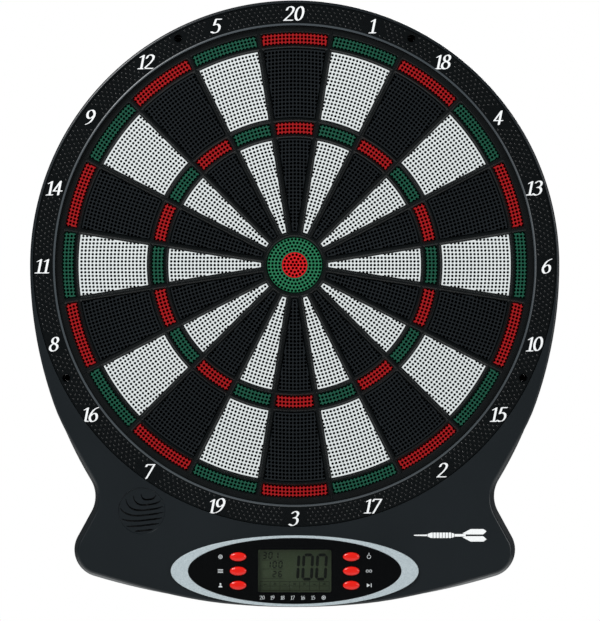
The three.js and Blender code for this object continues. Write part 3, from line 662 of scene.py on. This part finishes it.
def flat_moulding(name, loops, back, front, slope):
    """A plate with its openings, and sloping edges round all of them, from a flat curve."""
    curve = bpy.data.curves.new(name, "CURVE")
    curve.dimensions = "2D"
    curve.fill_mode = "BOTH"
    curve.extrude = (front - back) / 2 - slope
    curve.bevel_depth = slope
    curve.bevel_resolution = 0
    curve.offset = -slope
    for loop in loops:
        spline = curve.splines.new("POLY")
        spline.points.add(len(loop) - 1)
        for point, (x, y) in zip(spline.points, loop):
            point.co = (x, y, 0, 1)
        spline.use_cyclic_u = True
    piece = bpy.data.objects.new(name, curve)
    bpy.context.collection.objects.link(piece)
    pick(piece)
    bpy.ops.object.convert(target="MESH")
    piece.location.z = (back + front) / 2
    bpy.ops.object.transform_apply(location=True, rotation=True, scale=True)
    bpy.ops.object.mode_set(mode="EDIT")
    close_up(0.001)
    return piece


spider_loops = [[(x, y) for x, y, z in round_ring(rim_radius + rib_slope, 0, 240)]]
spider_loops.append([(x, y) for x, y, z in round_ring(23.6, 0, 96)])
for i in range(20):
    for inner, outer in tile_rings.values():
        spider_loops.append(
            sector(
                inner - tile_clearance,
                outer + tile_clearance,
                side_offset - tile_clearance,
                math.pi / 2 - i * math.pi / 10,
            )
        )
spider_web = flat_moulding("spider_web", spider_loops, spider_back, crest, rib_slope)
rim_step = turned(
    "rim_step",
    [(198.0, crest + 1), (198.0, crest), (198.5, rim_front), (206, rim_front), (206, crest + 1)]
    + [(198.0, crest + 1)],
    240,
    hollow=True,
)
for i in range(10):
    bar = prism("bar", rectangle(420, 1.1), crest - 2, crest + 2)
    bar.rotation_euler.z = math.pi / 10 * (i + 0.5)
    cut(rim_step, bar)
cut(spider_web, rim_step)
cut(spider_web, turned("rim", [(rim_radius, 10), (rim_radius, 40)], 240), "INTERSECT")
foot_profile = [(199.8, 12.4), (rim_radius, 12.4), (rim_radius, 25.5), (210.5, 25.5)]
foot_profile += [(210.5, 28.0), (rim_radius, 28.0), (rim_radius, 29.0), (199.8, 29.0)]
cut(spider_web, turned("foot", foot_profile + foot_profile[:1], 240, hollow=True), "UNION")

# Black ABS, polished in the mould, so the crests of the ribs catch thin lines of light.
spider_plastic = moulded_plastic("black_abs_polished", "#090C0D", "#0E1213", 0.27, 0.5, 0.006)
stand_up(spider_web, spider_plastic, 25)
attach(spider_web, "cabinet")
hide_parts("spider")

# --------------------------------------
# The tiles: eighty blocks of coloured ABS, four to each number, full of countersunk holes that
# take the soft tips. Each stands on a flange behind the spider and pushes in on the film switch.
# --------------------------------------
tile_back, flange_front, tile_front = 13.6, 15.2, 30.6
hole_radius, hole_pitch = 1.12, 3.08
tile_rows = {
    "inner_single": [31.0 + 3.083 * i for i in range(25)],
    "triple": [111.8 + 3.133 * i for i in range(4)],
    "outer_single": [128.05 + 3.13 * i for i in range(18)],
    "double": [188.1 + 2.967 * i for i in range(4)],
}

# Coloured ABS: plain and clean, satin on the lands between the holes.
white_tile = moulded_plastic("white_abs", "#D9DEDE", "#E3E7E6", 0.42, 0.4, 0.01)
black_tile = moulded_plastic("black_abs", "#0E1316", "#161C20", 0.34, 0.4, 0.01)
red_tile = moulded_plastic("red_abs", "#98040A", "#A8060C", 0.33, 0.4, 0.01)
green_tile = moulded_plastic("green_abs", "#114A37", "#165843", 0.34, 0.4, 0.01)


def punch():
    """The pin of the mould that leaves one countersunk hole."""
    profile = [(hole_radius, tile_back - 1), (hole_radius, tile_front - 0.45)]
    profile.append((hole_radius + 0.27, tile_front + 0.1))
    return turned("punch", profile, 8)


patterns = {}
for kind, (inner, outer) in tile_rings.items():
    foot = sector(inner - 1.9, outer + 1.9, 0.5)
    stem = sector(inner, outer, side_offset)
    top = sector(inner + 0.25, outer - 0.25, side_offset + 0.25)
    levels = ((foot, tile_back), (foot, flange_front), (stem, flange_front))
    levels += ((stem, tile_front - 0.25), (top, tile_front))
    tile = loft(f"{kind}_pattern", [[(x, y, z) for x, y in ring] for ring, z in levels])
    holes = []
    for radius in tile_rows[kind]:
        half_width = radius * (math.pi / 20 - math.asin(side_offset / radius))
        for column in range(-12, 13):
            across = column * hole_pitch
            if abs(across) < half_width + 0.25:
                turn = math.pi / 2 + across / radius
                holes.append((*polar(radius, turn), turn))
    patterns[kind] = cut(tile, repeated(punch(), holes))

for i, number in enumerate(numbers):
    light = i % 2 == 1
    for kind, pattern in patterns.items():
        tile = copied(pattern, f"tile_{number:02d}_{kind}")
        tile.data.transform(Matrix.Rotation(-i * math.pi / 10, 4, "Z"))
        if kind in ("triple", "double"):
            light_finish, dark_finish = (green_tile, "tile_green"), (red_tile, "tile_red")
        else:
            light_finish, dark_finish = (white_tile, "tile_white"), (black_tile, "tile_black")
        colour, colour_slot = light_finish if light else dark_finish
        stand_up(tile, colour, 20)
        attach(tile, f"segment_{number:02d}")
        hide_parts(f"segment_{number:02d}")
for pattern in patterns.values():
    bpy.data.objects.remove(pattern, do_unlink=True)

# --------------------------------------
# The two bulls: a green ring and a red button in its middle, holed and flanged like the tiles,
# each with a switch of its own.
# --------------------------------------
bull_radius, outer_bull_radius = 10.8, 23.2
bull_flange_front, outer_foot_front = 15.0, 16.5
outer_profile = [(12.7, tile_back), (25.6, tile_back), (25.6, flange_front)]
outer_profile += [(outer_bull_radius, flange_front), (outer_bull_radius, tile_front - 0.25)]
outer_profile += [(outer_bull_radius - 0.25, tile_front), (11.35, tile_front)]
outer_profile += [(11.1, tile_front - 0.25), (11.1, outer_foot_front)]
outer_profile += [(12.7, outer_foot_front), (12.7, tile_back)]
outer_bull = turned("bull_outer_ring", outer_profile, 96, hollow=True)
holes = []
for radius in (12.95, 16.0, 18.95, 21.9):
    holes += around(radius, round(2 * math.pi * radius / 3.05))
cut(outer_bull, repeated(punch(), holes))
# The bulls' ABS is a shade brighter than the tiles'.
bull_green = moulded_plastic("bright_green_abs", "#1E6B47", "#257A53", 0.34, 0.4, 0.01)
bull_red = moulded_plastic("bright_red_abs", "#C80C14", "#D61018", 0.33, 0.4, 0.01)
stand_up(outer_bull, bull_green, 20)
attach(outer_bull, "outer_bull")
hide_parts("outer_bull")

bull_profile = [(12.4, tile_back), (12.4, bull_flange_front), (bull_radius, bull_flange_front)]
bull_profile += [(bull_radius, tile_front - 0.25), (bull_radius - 0.25, tile_front)]
bull_button = turned("bull_button", bull_profile, 72)
holes = [(0, 0, 0)]
for radius, count in ((3.0, 6), (5.95, 12), (8.9, 18)):
    holes += around(radius, count)
cut(bull_button, repeated(punch(), holes))
stand_up(bull_button, bull_red, 20)
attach(bull_button, "bull")
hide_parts("bull")

# --------------------------------------
# The bezel: an oval frame in silver-painted ABS, stuck to the base round the control panel. Its
# sides are wide at the ends and narrow above and below.
# --------------------------------------
panel_back = 34.3


def oval_ring(half_width, half_height, height, x=0.0, y=panel_y, sides=192):
    return round_ring(half_width, height, sides, x, y, half_height / half_width)


bezel_width, bezel_height, bezel_front = 105.2, 30.2, 36.3
opening_width, opening_height = 90.6, 28.0
bezel_rings = [
    oval_ring(bezel_width - inset, bezel_height - inset, z)
    for inset, z in ((0, panel_back), (0, 35.7), (0.3, 36.15), (0.7, bezel_front))
]
bezel_rings += [
    oval_ring(opening_width + across, opening_height + up, z)
    for across, up, z in ((0.4, 0.35, bezel_front), (0.1, 0.1, 36.1), (0, 0, 35.8))
]
bezel_rings.append(oval_ring(opening_width, opening_height, panel_back))
bezel_frame = loft("bezel_frame", bezel_rings + bezel_rings[:1], hollow=True)

# Silver paint: aluminium flakes 0.1 mm wide in a pale blue-grey coat, drawn 0.5 mm wide so that
# they show as a fine sparkle.
silver_paint, tree, place = new_material("silver_flake_paint")
flakes = add_node(tree, "ShaderNodeTexVoronoi", {"Vector": place, "Scale": 1000 / 0.5})
flake = add_node(tree, "ShaderNodeSeparateColor", {0: flakes.outputs["Color"]})
tints = {"Factor": flake.outputs[0], 6: linear("#AEBBC0"), 7: linear("#CBD6DA")}
sheen = add_node(tree, "ShaderNodeMix", tints, data_type="RGBA")
lean = {"Height": flake.outputs[1], "Strength": 0.25, "Distance": 0.00003}
tilt = add_node(tree, "ShaderNodeBump", lean)
spread = {"Value": flake.outputs[2], "To Min": 0.36, "To Max": 0.52}
gloss = add_node(tree, "ShaderNodeMapRange", spread)
surface = {"Base Color": sheen.outputs[2], "Metallic": 0.2}
surface |= {"Roughness": gloss.outputs["Result"], "Normal": tilt.outputs["Normal"]}
shader = add_node(tree, "ShaderNodeBsdfPrincipled", surface)
add_node(tree, "ShaderNodeOutputMaterial", {"Surface": shader.outputs[0]})
stand_up(bezel_frame, silver_paint)
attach(bezel_frame, "cabinet")
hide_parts("silver_bezel")

# --------------------------------------
# The control panel: an oval plate of gloss black acrylic inside the bezel, cut out for the
# display window and the six keys.
# --------------------------------------
panel_width, panel_height, panel_front = 90.3, 27.7, 35.9
panel_rings = [oval_ring(panel_width, panel_height, z) for z in (panel_back, panel_front - 0.2)]
panel_rings.append(oval_ring(panel_width - 0.2, panel_height - 0.2, panel_front))
panel_plate = loft("panel_plate", panel_rings)
display_width, display_height = 62, 36
window_hole = rectangle(display_width, display_height, 0, panel_y, 1.2)
cut(panel_plate, prism("window_hole", window_hole, 30, 40))
for x, y in key_places:
    hole_rings = [oval_ring(key_hole_width, key_hole_height, z, x, y, 48) for z in (30, 40)]
    cut(panel_plate, loft("key_hole", hole_rings))
# Gloss acrylic: deep black, nearly a mirror.
panel_gloss = moulded_plastic("gloss_black_acrylic", "#050607", "#08090A", 0.13, 3.0, 0.003)
stand_up(panel_plate, panel_gloss)
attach(panel_plate, "cabinet")
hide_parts("control_panel")

# --------------------------------------
# The keys: six oval domed caps in glossy red ABS. Each stands through the panel and is held by a
# flange behind the cabinet's face, over a rubber dome.
# --------------------------------------
key_back, key_front, key_shoulder = 25.0, 37.9, 36.2
key_width, key_height, key_flange = 7.05, 3.8, (29.5, 31.1)
dome_steps, dome_share = 8, 8.4
full_rise = math.sin(math.pi / 2 * dome_steps / dome_share)
# Glossy red ABS, bright and slightly orange, with a soft highlight on each dome.
key_red = moulded_plastic("glossy_red_abs", "#E2180E", "#EC2013", 0.2, 2.0, 0.003)
key_names = [f"{side}_{row}" for side in ("left", "right") for row in ("top", "middle", "bottom")]
for key_name, (x, y) in zip(key_names, key_places):
    rings = [oval_ring(key_width, key_height, z, x, y, 40) for z in (key_back, key_flange[0])]
    rings += [oval_ring(key_width + 1.1, key_height + 1.1, z, x, y, 40) for z in key_flange]
    for z in (key_flange[1], key_shoulder):
        rings.append(oval_ring(key_width, key_height, z, x, y, 40))
    for step in range(1, dome_steps + 1):
        turn = math.pi / 2 * step / dome_share
        share = math.cos(turn) ** 0.75
        height = key_shoulder + (key_front - key_shoulder) * math.sin(turn) / full_rise
        rings.append(oval_ring(key_width * share, key_height * share, height, x, y, 40))
    cap = loft(f"cap_{key_name}", rings)
    stand_up(cap, key_red, 50)
    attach(cap, f"key_{key_name}")
    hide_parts(f"key_{key_name}")

# --------------------------------------
# The display: a sheet of liquid-crystal glass behind a clear acrylic window. Its score figures
# and tables are thin dark segments just in front of the glass.
# --------------------------------------
glass_back, glass_front = 28.4, 31.1


def pane(name, edge, back, shoulder, front, share_across, share_up):
    """A sheet whose front edges are drawn in to a share of its width and height."""
    rings = [[(x, y, z) for x, y in edge] for z in (back, shoulder)]
    rings.append(
        [(x * share_across, panel_y + (y - panel_y) * share_up, front) for x, y in edge]
    )
    return loft(name, rings)


glass_edge = rectangle(display_width + 6, display_height + 6, 0, panel_y, 0.6, 3)
lcd_glass = pane(
    "lcd_glass", glass_edge, glass_back, glass_front - 0.2, glass_front, 0.996, 0.994
)
# Reflective liquid-crystal glass: grey with an olive cast, mottled very faintly.
lcd_finish = moulded_plastic("reflective_lcd_glass", "#6B775E", "#75816A", 0.25, 4.0, 0.002)
stand_up(lcd_glass, lcd_finish)
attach(lcd_glass, "cabinet")
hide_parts("display_glass")

ink_back, ink_front = glass_front + 0.05, glass_front + 0.2
lit = {
    "0": "abcdef", "1": "bc", "2": "abged", "3": "abgcd", "4": "fgbc",
    "5": "afgcd", "6": "afgedc", "7": "abc", "8": "abcdefg", "9": "abcdfg",
}


def bar(x0, y0, x1, y1, width):
    """A segment between two points, with pointed ends."""
    start, end = Vector((x0, y0)), Vector((x1, y1))
    along = (end - start).normalized()
    across = Vector((-along.y, along.x)) * width / 2
    start, end = start + along * 0.1 * width, end - along * 0.1 * width
    near, far = start + along * width / 2, end - along * width / 2
    return prism(
        "segment",
        [start, near - across, far - across, end, far + across, near + across],
        ink_back,
        ink_front,
    )


def seven_segments(text, x, y, width, height, pitch, weight):
    """A number in seven-segment figures, leaning a little, its lower left corner at (x, y)."""
    pieces = []
    for figure in text:
        w, h, lean = width, height, 0.06
        spots = {
            "a": (0, h, w, h), "b": (w, h, w, h / 2), "c": (w, h / 2, w, 0), "d": (0, 0, w, 0),
            "e": (0, h / 2, 0, 0), "f": (0, h, 0, h / 2), "g": (0, h / 2, w, h / 2),
        }
        for name in lit[figure]:
            x0, y0, x1, y1 = spots[name]
            pieces.append(bar(x + x0 + lean * y0, y + y0, x + x1 + lean * y1, y + y1, weight))
        x += pitch
    return pieces


marks = seven_segments("100", -5.0, panel_y - 7.2, 7.4, 20.6, 11.7, 2.5)
marks += seven_segments("301", -27.0, panel_y + 10.4, 2.6, 5.2, 5.0, 0.95)
marks += seven_segments("100", -23.5, panel_y + 2.6, 2.6, 5.2, 5.0, 0.95)
marks += seven_segments("26", -18.5, panel_y - 5.2, 2.4, 4.6, 4.8, 0.9)
rule_width, table_width = 0.3, 58.7
rules = [(18.4, rule_width, -18.9, row) for row in (9.0, 1.4, -6.4)]
rules += [(59, rule_width, 0, row) for row in (-9.2, -13.0, -16.8)]
for column in range(8):
    x = -29.35 + table_width * column / 7
    rules += [(rule_width, 3.3, x, row) for row in (-11.1, -14.9)]
for wide, high, x, row in rules:
    marks.append(prism("rule", rectangle(wide, high, x, panel_y + row), ink_back, ink_front))
for column in range(7):
    x = -25.2 + table_width * column / 7
    for lean in (-1, 1):
        if column in (0, 2, 5) and lean > 0:
            continue
        y = panel_y - 11.1 + 0.5 * lean
        marks.append(bar(x - 1.3, y, x + 1.3, y, 0.5))
lcd_figures = gathered("lcd_figures", marks)
# Switched liquid crystal: near-black with a green cast.
lcd_ink = moulded_plastic("switched_liquid_crystal", "#0B0F0A", "#10150F", 0.4, 1.0, 0.002)
stand_up(lcd_figures, lcd_ink)
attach(lcd_figures, "cabinet")

window_back, window_front = 34.5, 35.7
window_edge = rectangle(display_width - 0.6, display_height - 0.6, 0, panel_y, 0.9)
window_pane = pane(
    "window_pane", window_edge, window_back, window_front - 0.15, window_front, 0.995, 0.992
)
# Clear acrylic: cast sheet, very slightly wavy.
window_clear, tree, place = new_material("clear_acrylic")
waves = add_node(tree, "ShaderNodeTexNoise", {"Vector": place, "Scale": 1 / 0.02})
wavy = {"Height": waves.outputs["Fac"], "Strength": 0.3, "Distance": 0.00001}
ripple = add_node(tree, "ShaderNodeBump", wavy)
surface = {"Base Color": linear("#E4E9E4"), "Roughness": 0.03, "IOR": 1.49}
surface |= {"Transmission Weight": 1.0, "Normal": ripple.outputs["Normal"]}
shader = add_node(tree, "ShaderNodeBsdfPrincipled", surface)
add_node(tree, "ShaderNodeOutputMaterial", {"Surface": shader.outputs[0]})
stand_up(window_pane, window_clear)
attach(window_pane, "cabinet")
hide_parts("display_window")

# --------------------------------------
# The panel's print: numbers under the display's columns, a bull mark, and a plain sign beside
# each key, screen-printed in pale grey ink on the acrylic.
# --------------------------------------
print_back, print_front = panel_front + 0.02, panel_front + 0.1
print_height = 3.5
print_row = panel_y - 22.5


def ringlet(x, y, radius, width, sides=20):
    """A small printed ring."""
    profile = [(radius - width, print_back), (radius, print_back), (radius, print_front)]
    profile += [(radius - width, print_front), (radius - width, print_back)]
    return turned("ringlet", profile, sides, x, y, hollow=True)


def dot(x, y, radius, sides=16):
    return turned("dot", [(radius, print_back), (radius, print_front)], sides, x, y)


def patch(points):
    return prism("patch", points, print_back, print_front)


prints = []
for number, x in zip((20, 19, 18, 17, 16, 15), (-27.6, -19.0, -10.4, -1.8, 6.9, 15.6)):
    letters = str(number)
    start = x - sum(digit_advance[letter] for letter in letters) * print_height / 2
    for letter in letters:
        strokes = digit_strokes[letter]
        figure = penned("figure", strokes, print_back, print_front, print_height, 0, 0.8)
        figure.data.transform(Matrix.Translation((start, print_row - print_height / 2, 0)))
        prints.append(figure)
        start += digit_advance[letter] * print_height
prints += [ringlet(24.6, print_row, 1.7, 0.45), dot(24.6, print_row, 0.6)]
left, right = -63.0, 63.0
top_row, middle_row, low_row = key_heights
prints += [ringlet(left, top_row, 1.8, 0.4), ringlet(left, top_row, 0.95, 0.4)]
prints += [patch(rectangle(4.4, 0.55, left, middle_row + shift)) for shift in (1.2, 0, -1.2)]
shoulders = [
    (left + 1.7 * math.cos(t), low_row - 1.7 + 1.6 * math.sin(t))
    for t in [math.pi * i / 10 for i in range(11)]
]
prints += [dot(left, low_row + 1.1, 0.8), patch(shoulders)]
prints += [ringlet(right, top_row, 1.7, 0.4), patch(rectangle(0.45, 1.5, right, top_row + 2.6))]
prints += [ringlet(right - 1.4, middle_row, 1.2, 0.4), ringlet(right + 1.4, middle_row, 1.2, 0.4)]
prints += [
    patch([(right - 1.8, low_row - 1.6), (right + 1.0, low_row), (right - 1.8, low_row + 1.6)]),
    patch(rectangle(0.6, 3.2, right + 1.9, low_row)),
]
panel_print = gathered("panel_print", prints)
# Screen ink: pale grey and matt on the gloss panel.
print_ink = moulded_plastic("grey_screen_ink", "#C9CED0", "#D6DADB", 0.6, 0.6, 0.003)
stand_up(panel_print, print_ink)
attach(panel_print, "cabinet")

# --------------------------------------
# The dart sign: a plain dart in side view, pad-printed in white ink on the base at the right.
# --------------------------------------
sign_x, sign_y = 131.8, -229.4
print_back, print_front = body_depth + 0.02, body_depth + 0.12


def mirrored_patch(half):
    """A printed shape from its upper edge, (x, half height) pairs from the dart's middle."""
    upper = [(sign_x + x, sign_y + y) for x, y in half]
    lower = [(x, 2 * sign_y - y) for x, y in reversed(upper) if y > sign_y + 0.01]
    return patch(upper + lower)


signs = [mirrored_patch([(-31, 0.0), (-30, 0.45), (-19.4, 0.7)])]
signs.append(mirrored_patch([(-19.0, 1.0), (-16.5, 2.1), (-14.6, 2.3)]))
signs += [
    mirrored_patch([(-14.1 + 2.6 * i, 2.3), (-12.0 + 2.6 * i, 2.3)]) for i in range(6)
]
signs.append(mirrored_patch([(1.5, 2.1), (3.5, 1.4)]))
signs.append(mirrored_patch([(3.9, 1.05), (13.4, 1.05)]))
fin = [(10.5, 1.6), (17.5, 5.3), (28.5, 5.3), (31, 3.4), (28.2, 0.75), (14.5, 0.75)]
for side in (1, -1):
    signs.append(patch([(sign_x + x, sign_y + side * y) for x, y in fin]))
dart_sign = gathered("dart_sign", signs)
stand_up(dart_sign, white_ink)
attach(dart_sign, "cabinet")

# --------------------------------------
# The rear cover: one black moulding screwed to the cabinet from behind, with a battery box, seats
# for its screws, holes for the wall screws, and shallow panels between its ribs.
# --------------------------------------
cover_thickness, cover_inset = 2.4, 2.9
box_x, box_y = 125.83, -228.89
cavity_width, cavity_height, cavity_back, cavity_front = 57.0, 46.4, 2.5, 19.1
door_width, door_height, door_gap = 66.2, 55.6, 0.4
hinge_y = box_y + door_height / 2 - 1

cover_rings = [cabinet_ring(cover_inset + 0.5, 0)]
cover_rings += [cabinet_ring(cover_inset, height) for height in (0.5, cover_thickness)]
cover_plate = loft("cover_plate", cover_rings)


def block(name, width, height, back, front, x=0.0, y=0.0, corner=0.0):
    return prism(name, rectangle(width, height, x, y, corner), back, front)


def hoop(name, inner, outer, back, front):
    profile = [(inner, back), (outer, back), (outer, front), (inner, front), (inner, back)]
    return turned(name, profile, 120, hollow=True)


rib_back, rib_front, rib_reach = 2.3, 5.7, 199.8
for outer in (112, rib_reach):
    cut(cover_plate, hoop("rib", outer - 2, outer, rib_back, rib_front), "UNION")
for i in range(4):
    rib = block("rib", 2 * (rib_reach - 1), 2, rib_back, rib_front)
    rib.data.transform(Matrix.Rotation(math.pi / 8 + math.pi / 4 * i, 4, "Z"))
    cut(cover_plate, rib, "UNION")
for x, y in cover_screws:
    cut(cover_plate, turned("boss", [(5.3, 1.9), (5.3, 5.1)], 24, x, y), "UNION")
for side, height in ((3.6, 20.9), (door_width - cavity_width + 6.8, 4.4)):
    box = block("box", cavity_width + side, cavity_height + side, 0.5, height, box_x, box_y)
    cut(cover_plate, box, "UNION")
recess_size = (door_width + 2 * door_gap, door_height + 2 * door_gap)
cut(cover_plate, block("door_recess", *recess_size, -1, cavity_back, box_x, box_y))
cut(cover_plate, block("cavity", cavity_width, cavity_height, 1, cavity_front, box_x, box_y))
catch_y = box_y - door_height / 2 - door_gap - 2.45
cut(cover_plate, block("catch_notch", 14, 5, -1, 2, box_x, catch_y, 0.8))
cut(cover_plate, block("hinge_notch", door_width + 3.8, 2, -1, 2, box_x, hinge_y))
for x, y in fixing_places:
    cut(cover_plate, turned("hole", [(3.7, -0.4), (3.2, 0.3), (3.2, 4)], 24, x, y))
for x, y in cover_screws:
    cut(cover_plate, turned("seat", [(4.0, -0.4), (3.7, 0.25), (3.7, 2.5)], 32, x, y))
    cut(cover_plate, turned("hole", [(1.5, 2), (1.5, 6)], 16, x, y))

# Eight sunk panels round the middle and eight outside them, each with a fine frame of full depth.
for inner, outer in ((32, 106), (116, 193)):
    for i in range(8):
        middle = math.pi / 4 * i
        panel = []
        for radius, direction in ((outer, 1), (inner, -1)):
            half = math.pi / 8 - math.asin(5 / radius)
            panel += [
                polar(radius, middle + direction * half * (-1 + k / 8)) for k in range(17)
            ]
        cut(cover_plate, prism("panel", panel, -1, 0.45))
vent_width, vent_pitch = 26, 3.4
for k in range(9):
    x, y = speaker_centre[0], speaker_centre[1] + vent_pitch * (k - 4)
    cut(cover_plate, block("vent", vent_width, 1.6, -1, 3, x, y, 0.7))

# Black ABS with a coarse spark-eroded grain, left duller than the front since it faces the wall.
cover_plastic = moulded_plastic("black_abs_coarse", "#1A1D1F", "#212427", 0.48, 0.9, 0.05)
stand_up(cover_plate, cover_plastic, 30)
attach(cover_plate, "cabinet")
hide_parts("rear_cover")

# --------------------------------------
# Shade discs: four black discs shaped like soft rubber plugs, pressed into the wall screws' holes
# from behind as painted shade. They stand for the shade that fills the holes.
# --------------------------------------
# Matt black with a fine bloom: the painted shade in the holes.
hole_shade_black = moulded_plastic("painted_shade_black", "#0D0F10", "#131516", 0.7, 0.7, 0.02)
for i, (x, y) in enumerate(fixing_places):
    shade_disc_profile = [(2.2, 0.7), (2.9, 0.7), (3.1, 1.0), (3.1, 2.2), (2.9, 2.5), (0.6, 2.6)]
    shade_disc = turned(f"hole_plug_{i + 1}", shade_disc_profile, 24, x, y)
    cut(shade_disc, block("slit", 3.4, 0.5, 0, 1.2, x, y))
    stand_up(shade_disc, hole_shade_black)
    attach(shade_disc, "cabinet")

# --------------------------------------
# The cover's screws: seven thread-forming steel screws with low pan heads and cross recesses,
# each in its seat and driven into a post behind the cabinet's face.
# --------------------------------------
# Zinc plate: cool grey metal, its brightness broken up in blotches about 1.5 mm wide.
steel_plate, tree, place = new_material("zinc_plated_steel")
blotch = add_node(tree, "ShaderNodeTexNoise", {"Vector": place, "Scale": 1000 / 1.5})
tints = {"Factor": blotch.outputs["Fac"], 6: linear("#9EA4A8"), 7: linear("#C2C8CC")}
zinc = add_node(tree, "ShaderNodeMix", tints, data_type="RGBA")
spread = {"Value": blotch.outputs["Fac"], "To Min": 0.28, "To Max": 0.48}
dull = add_node(tree, "ShaderNodeMapRange", spread)
surface = {"Base Color": zinc.outputs[2], "Roughness": dull.outputs["Result"], "Metallic": 1.0}
shader = add_node(tree, "ShaderNodeBsdfPrincipled", surface)
add_node(tree, "ShaderNodeOutputMaterial", {"Surface": shader.outputs[0]})

for i, (x, y) in enumerate(cover_screws):
    profile = [(1.9, 0.4), (2.7, 0.55), (3.2, 1.0), (3.2, 1.6), (1.2, 2.3)]
    for turn_height in range(9):
        thread = 3.0 + 1.25 * turn_height
        profile += [(1.0, thread), (1.2, thread + 0.35), (1.2, thread + 0.5), (1.0, thread + 0.85)]
    profile += [(1.0, 14.8), (0.1, 16.2)]
    screw = turned(f"pan_screw_{i + 1}", profile, 20, x, y)
    for turn in (0, math.pi / 2):
        cut(screw, repeated(block("arm", 3.2, 0.6, 0, 1.3), [(x, y, turn + 0.6 * i)]))
    stand_up(screw, steel_plate, 40)
    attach(screw, "cabinet")
    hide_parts(f"cover_screw_{i + 1}")

# --------------------------------------
# The battery door: a flat black leaf with a grip and an arrow, turning on two pins in the cover's
# notches and held shut by a sprung tab on its lower edge.
# --------------------------------------
door_rings = []
for height, inset in ((0, 0.35), (0.35, 0), (2, 0)):
    size = (door_width - 2 * inset, door_height - 1 - 2 * inset)
    edge_points = rectangle(*size, box_x, box_y - 0.5, 0.6)
    door_rings.append([(x, y, height) for x, y in edge_points])
door_leaf = loft("door_leaf", door_rings)
for radius, length in ((1.0, door_width), (0.7, door_width + 3.2)):
    pin = turned("pin", [(radius, -length / 2), (radius, length / 2)], 16)
    turned_over = Matrix.Translation((box_x, hinge_y, 1)) @ Matrix.Rotation(math.pi / 2, 4, "Y")
    pin.data.transform(turned_over)
    cut(door_leaf, pin, "UNION")
catch_width, groove_pitch, lowest_groove = 13, 1.9, box_y - 23.5
cut(door_leaf, block("catch", catch_width, 3, 0.02, 1.98, box_x, box_y - 28.8, 0.5), "UNION")
for k in range(7):
    groove_y = lowest_groove + groove_pitch * k
    cut(door_leaf, block("groove", 16, 1.0, -1, 0.6, box_x, groove_y, 0.45))
arrow = [(box_x + x, box_y + y) for x, y in ((0, 10), (5, 4.5), (-5, 4.5))]
cut(door_leaf, prism("arrow", arrow, -1, 0.4))
stand_up(door_leaf, cover_plastic, 30)
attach(door_leaf, "battery_door")
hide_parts("battery_door")

# --------------------------------------
# The parts inside keep the shapes they have: rubber mat, film switch, hardboard, display holder,
# circuit board, key pads, loudspeaker, cells, contacts and leads. Each gets its own finish.
# --------------------------------------
# Cushion mat: black foam rubber, matt, pricked all over by cells about 0.8 mm wide.
mat_rubber = moulded_plastic("black_foam_rubber", "#141516", "#1C1D1E", 0.85, 0.8, 0.12)
# Switch film: milky polyester with a soft gloss and faint waves.
film_polyester = moulded_plastic("milky_polyester_film", "#C9CFCB", "#D5DAD6", 0.3, 12.0, 0.05)
# Display holder and speaker frame: plain black ABS.
holder_plastic = moulded_plastic("black_abs_plain", "#15181A", "#1A1D20", 0.45, 0.6, 0.02)
# Key pads: grey silicone rubber, matt and slightly milky.
pad_rubber = moulded_plastic("grey_silicone_rubber", "#8B9092", "#979C9E", 0.7, 0.5, 0.01)
# Loudspeaker cone: coated paper, with fibres about 0.6 mm apart.
cone_film = moulded_plastic("coated_paper_cone", "#1E1F20", "#28292A", 0.6, 0.6, 0.03)
# Leads: soft PVC sleeve, smooth with a dull shine.
lead_sleeve = moulded_plastic("pvc_lead_sleeve", "#4A4D4F", "#525557", 0.45, 1.2, 0.01)
# Cells: printed plastic sleeve, dark green-grey and shiny.
cell_sleeve = moulded_plastic("printed_cell_sleeve", "#23423A", "#2A4B42", 0.25, 2.0, 0.004)


def fibrous(name, colour, shade, grain, roughness):
    """A board of pressed or woven fibres: two tints in streaks of a real width."""
    material, tree, place = new_material(name)
    stretch = add_node(tree, "ShaderNodeMapping", {"Vector": place, "Scale": (1, 1, 0.35)})
    streaked = {"Vector": stretch.outputs["Vector"], "Scale": 1000 / grain, "Detail": 4}
    fibres = add_node(tree, "ShaderNodeTexNoise", streaked).outputs["Fac"]
    tints = {"Factor": fibres, 6: linear(colour), 7: linear(shade)}
    tint = add_node(tree, "ShaderNodeMix", tints, data_type="RGBA")
    raised = {"Height": fibres, "Strength": 0.5, "Distance": 0.0001}
    bump = add_node(tree, "ShaderNodeBump", raised).outputs["Normal"]
    surface = {"Base Color": tint.outputs[2], "Roughness": roughness, "Normal": bump}
    shader = add_node(tree, "ShaderNodeBsdfPrincipled", surface)
    add_node(tree, "ShaderNodeOutputMaterial", {"Surface": shader.outputs[0]})
    return material


# Backing board: hardboard, brown pressed fibres about 2 mm long, matt.
hardboard = fibrous("brown_hardboard", "#5B4330", "#75583F", 2.0, 0.75)
# Circuit board: green lacquer over a glass weave that just shows, fairly shiny.
circuit_board = fibrous("green_circuit_board", "#14502F", "#1B6039", 0.6, 0.3)

finishes = (
    (mat_rubber, ("cushion_mat",)),
    (film_polyester, ("switch_film",)),
    (hardboard, ("backing_board",)),
    (holder_plastic, ("display_holder", "speaker_frame")),
    (circuit_board, ("main_board",)),
    (pad_rubber, ("key_pad_left", "key_pad_right")),
    (cone_film, ("speaker_cone",)),
    (lead_sleeve, ("speaker_lead", "battery_lead")),
    (cell_sleeve, ("battery_1", "battery_2", "battery_3")),
    (steel_plate, ("contact_strip_left", "contact_strip_right")),
)
for finish, node_names in finishes:
    for node_name in node_names:
        for object_slot in bpy.data.objects[node_name].material_slots:
            object_slot.material = finish
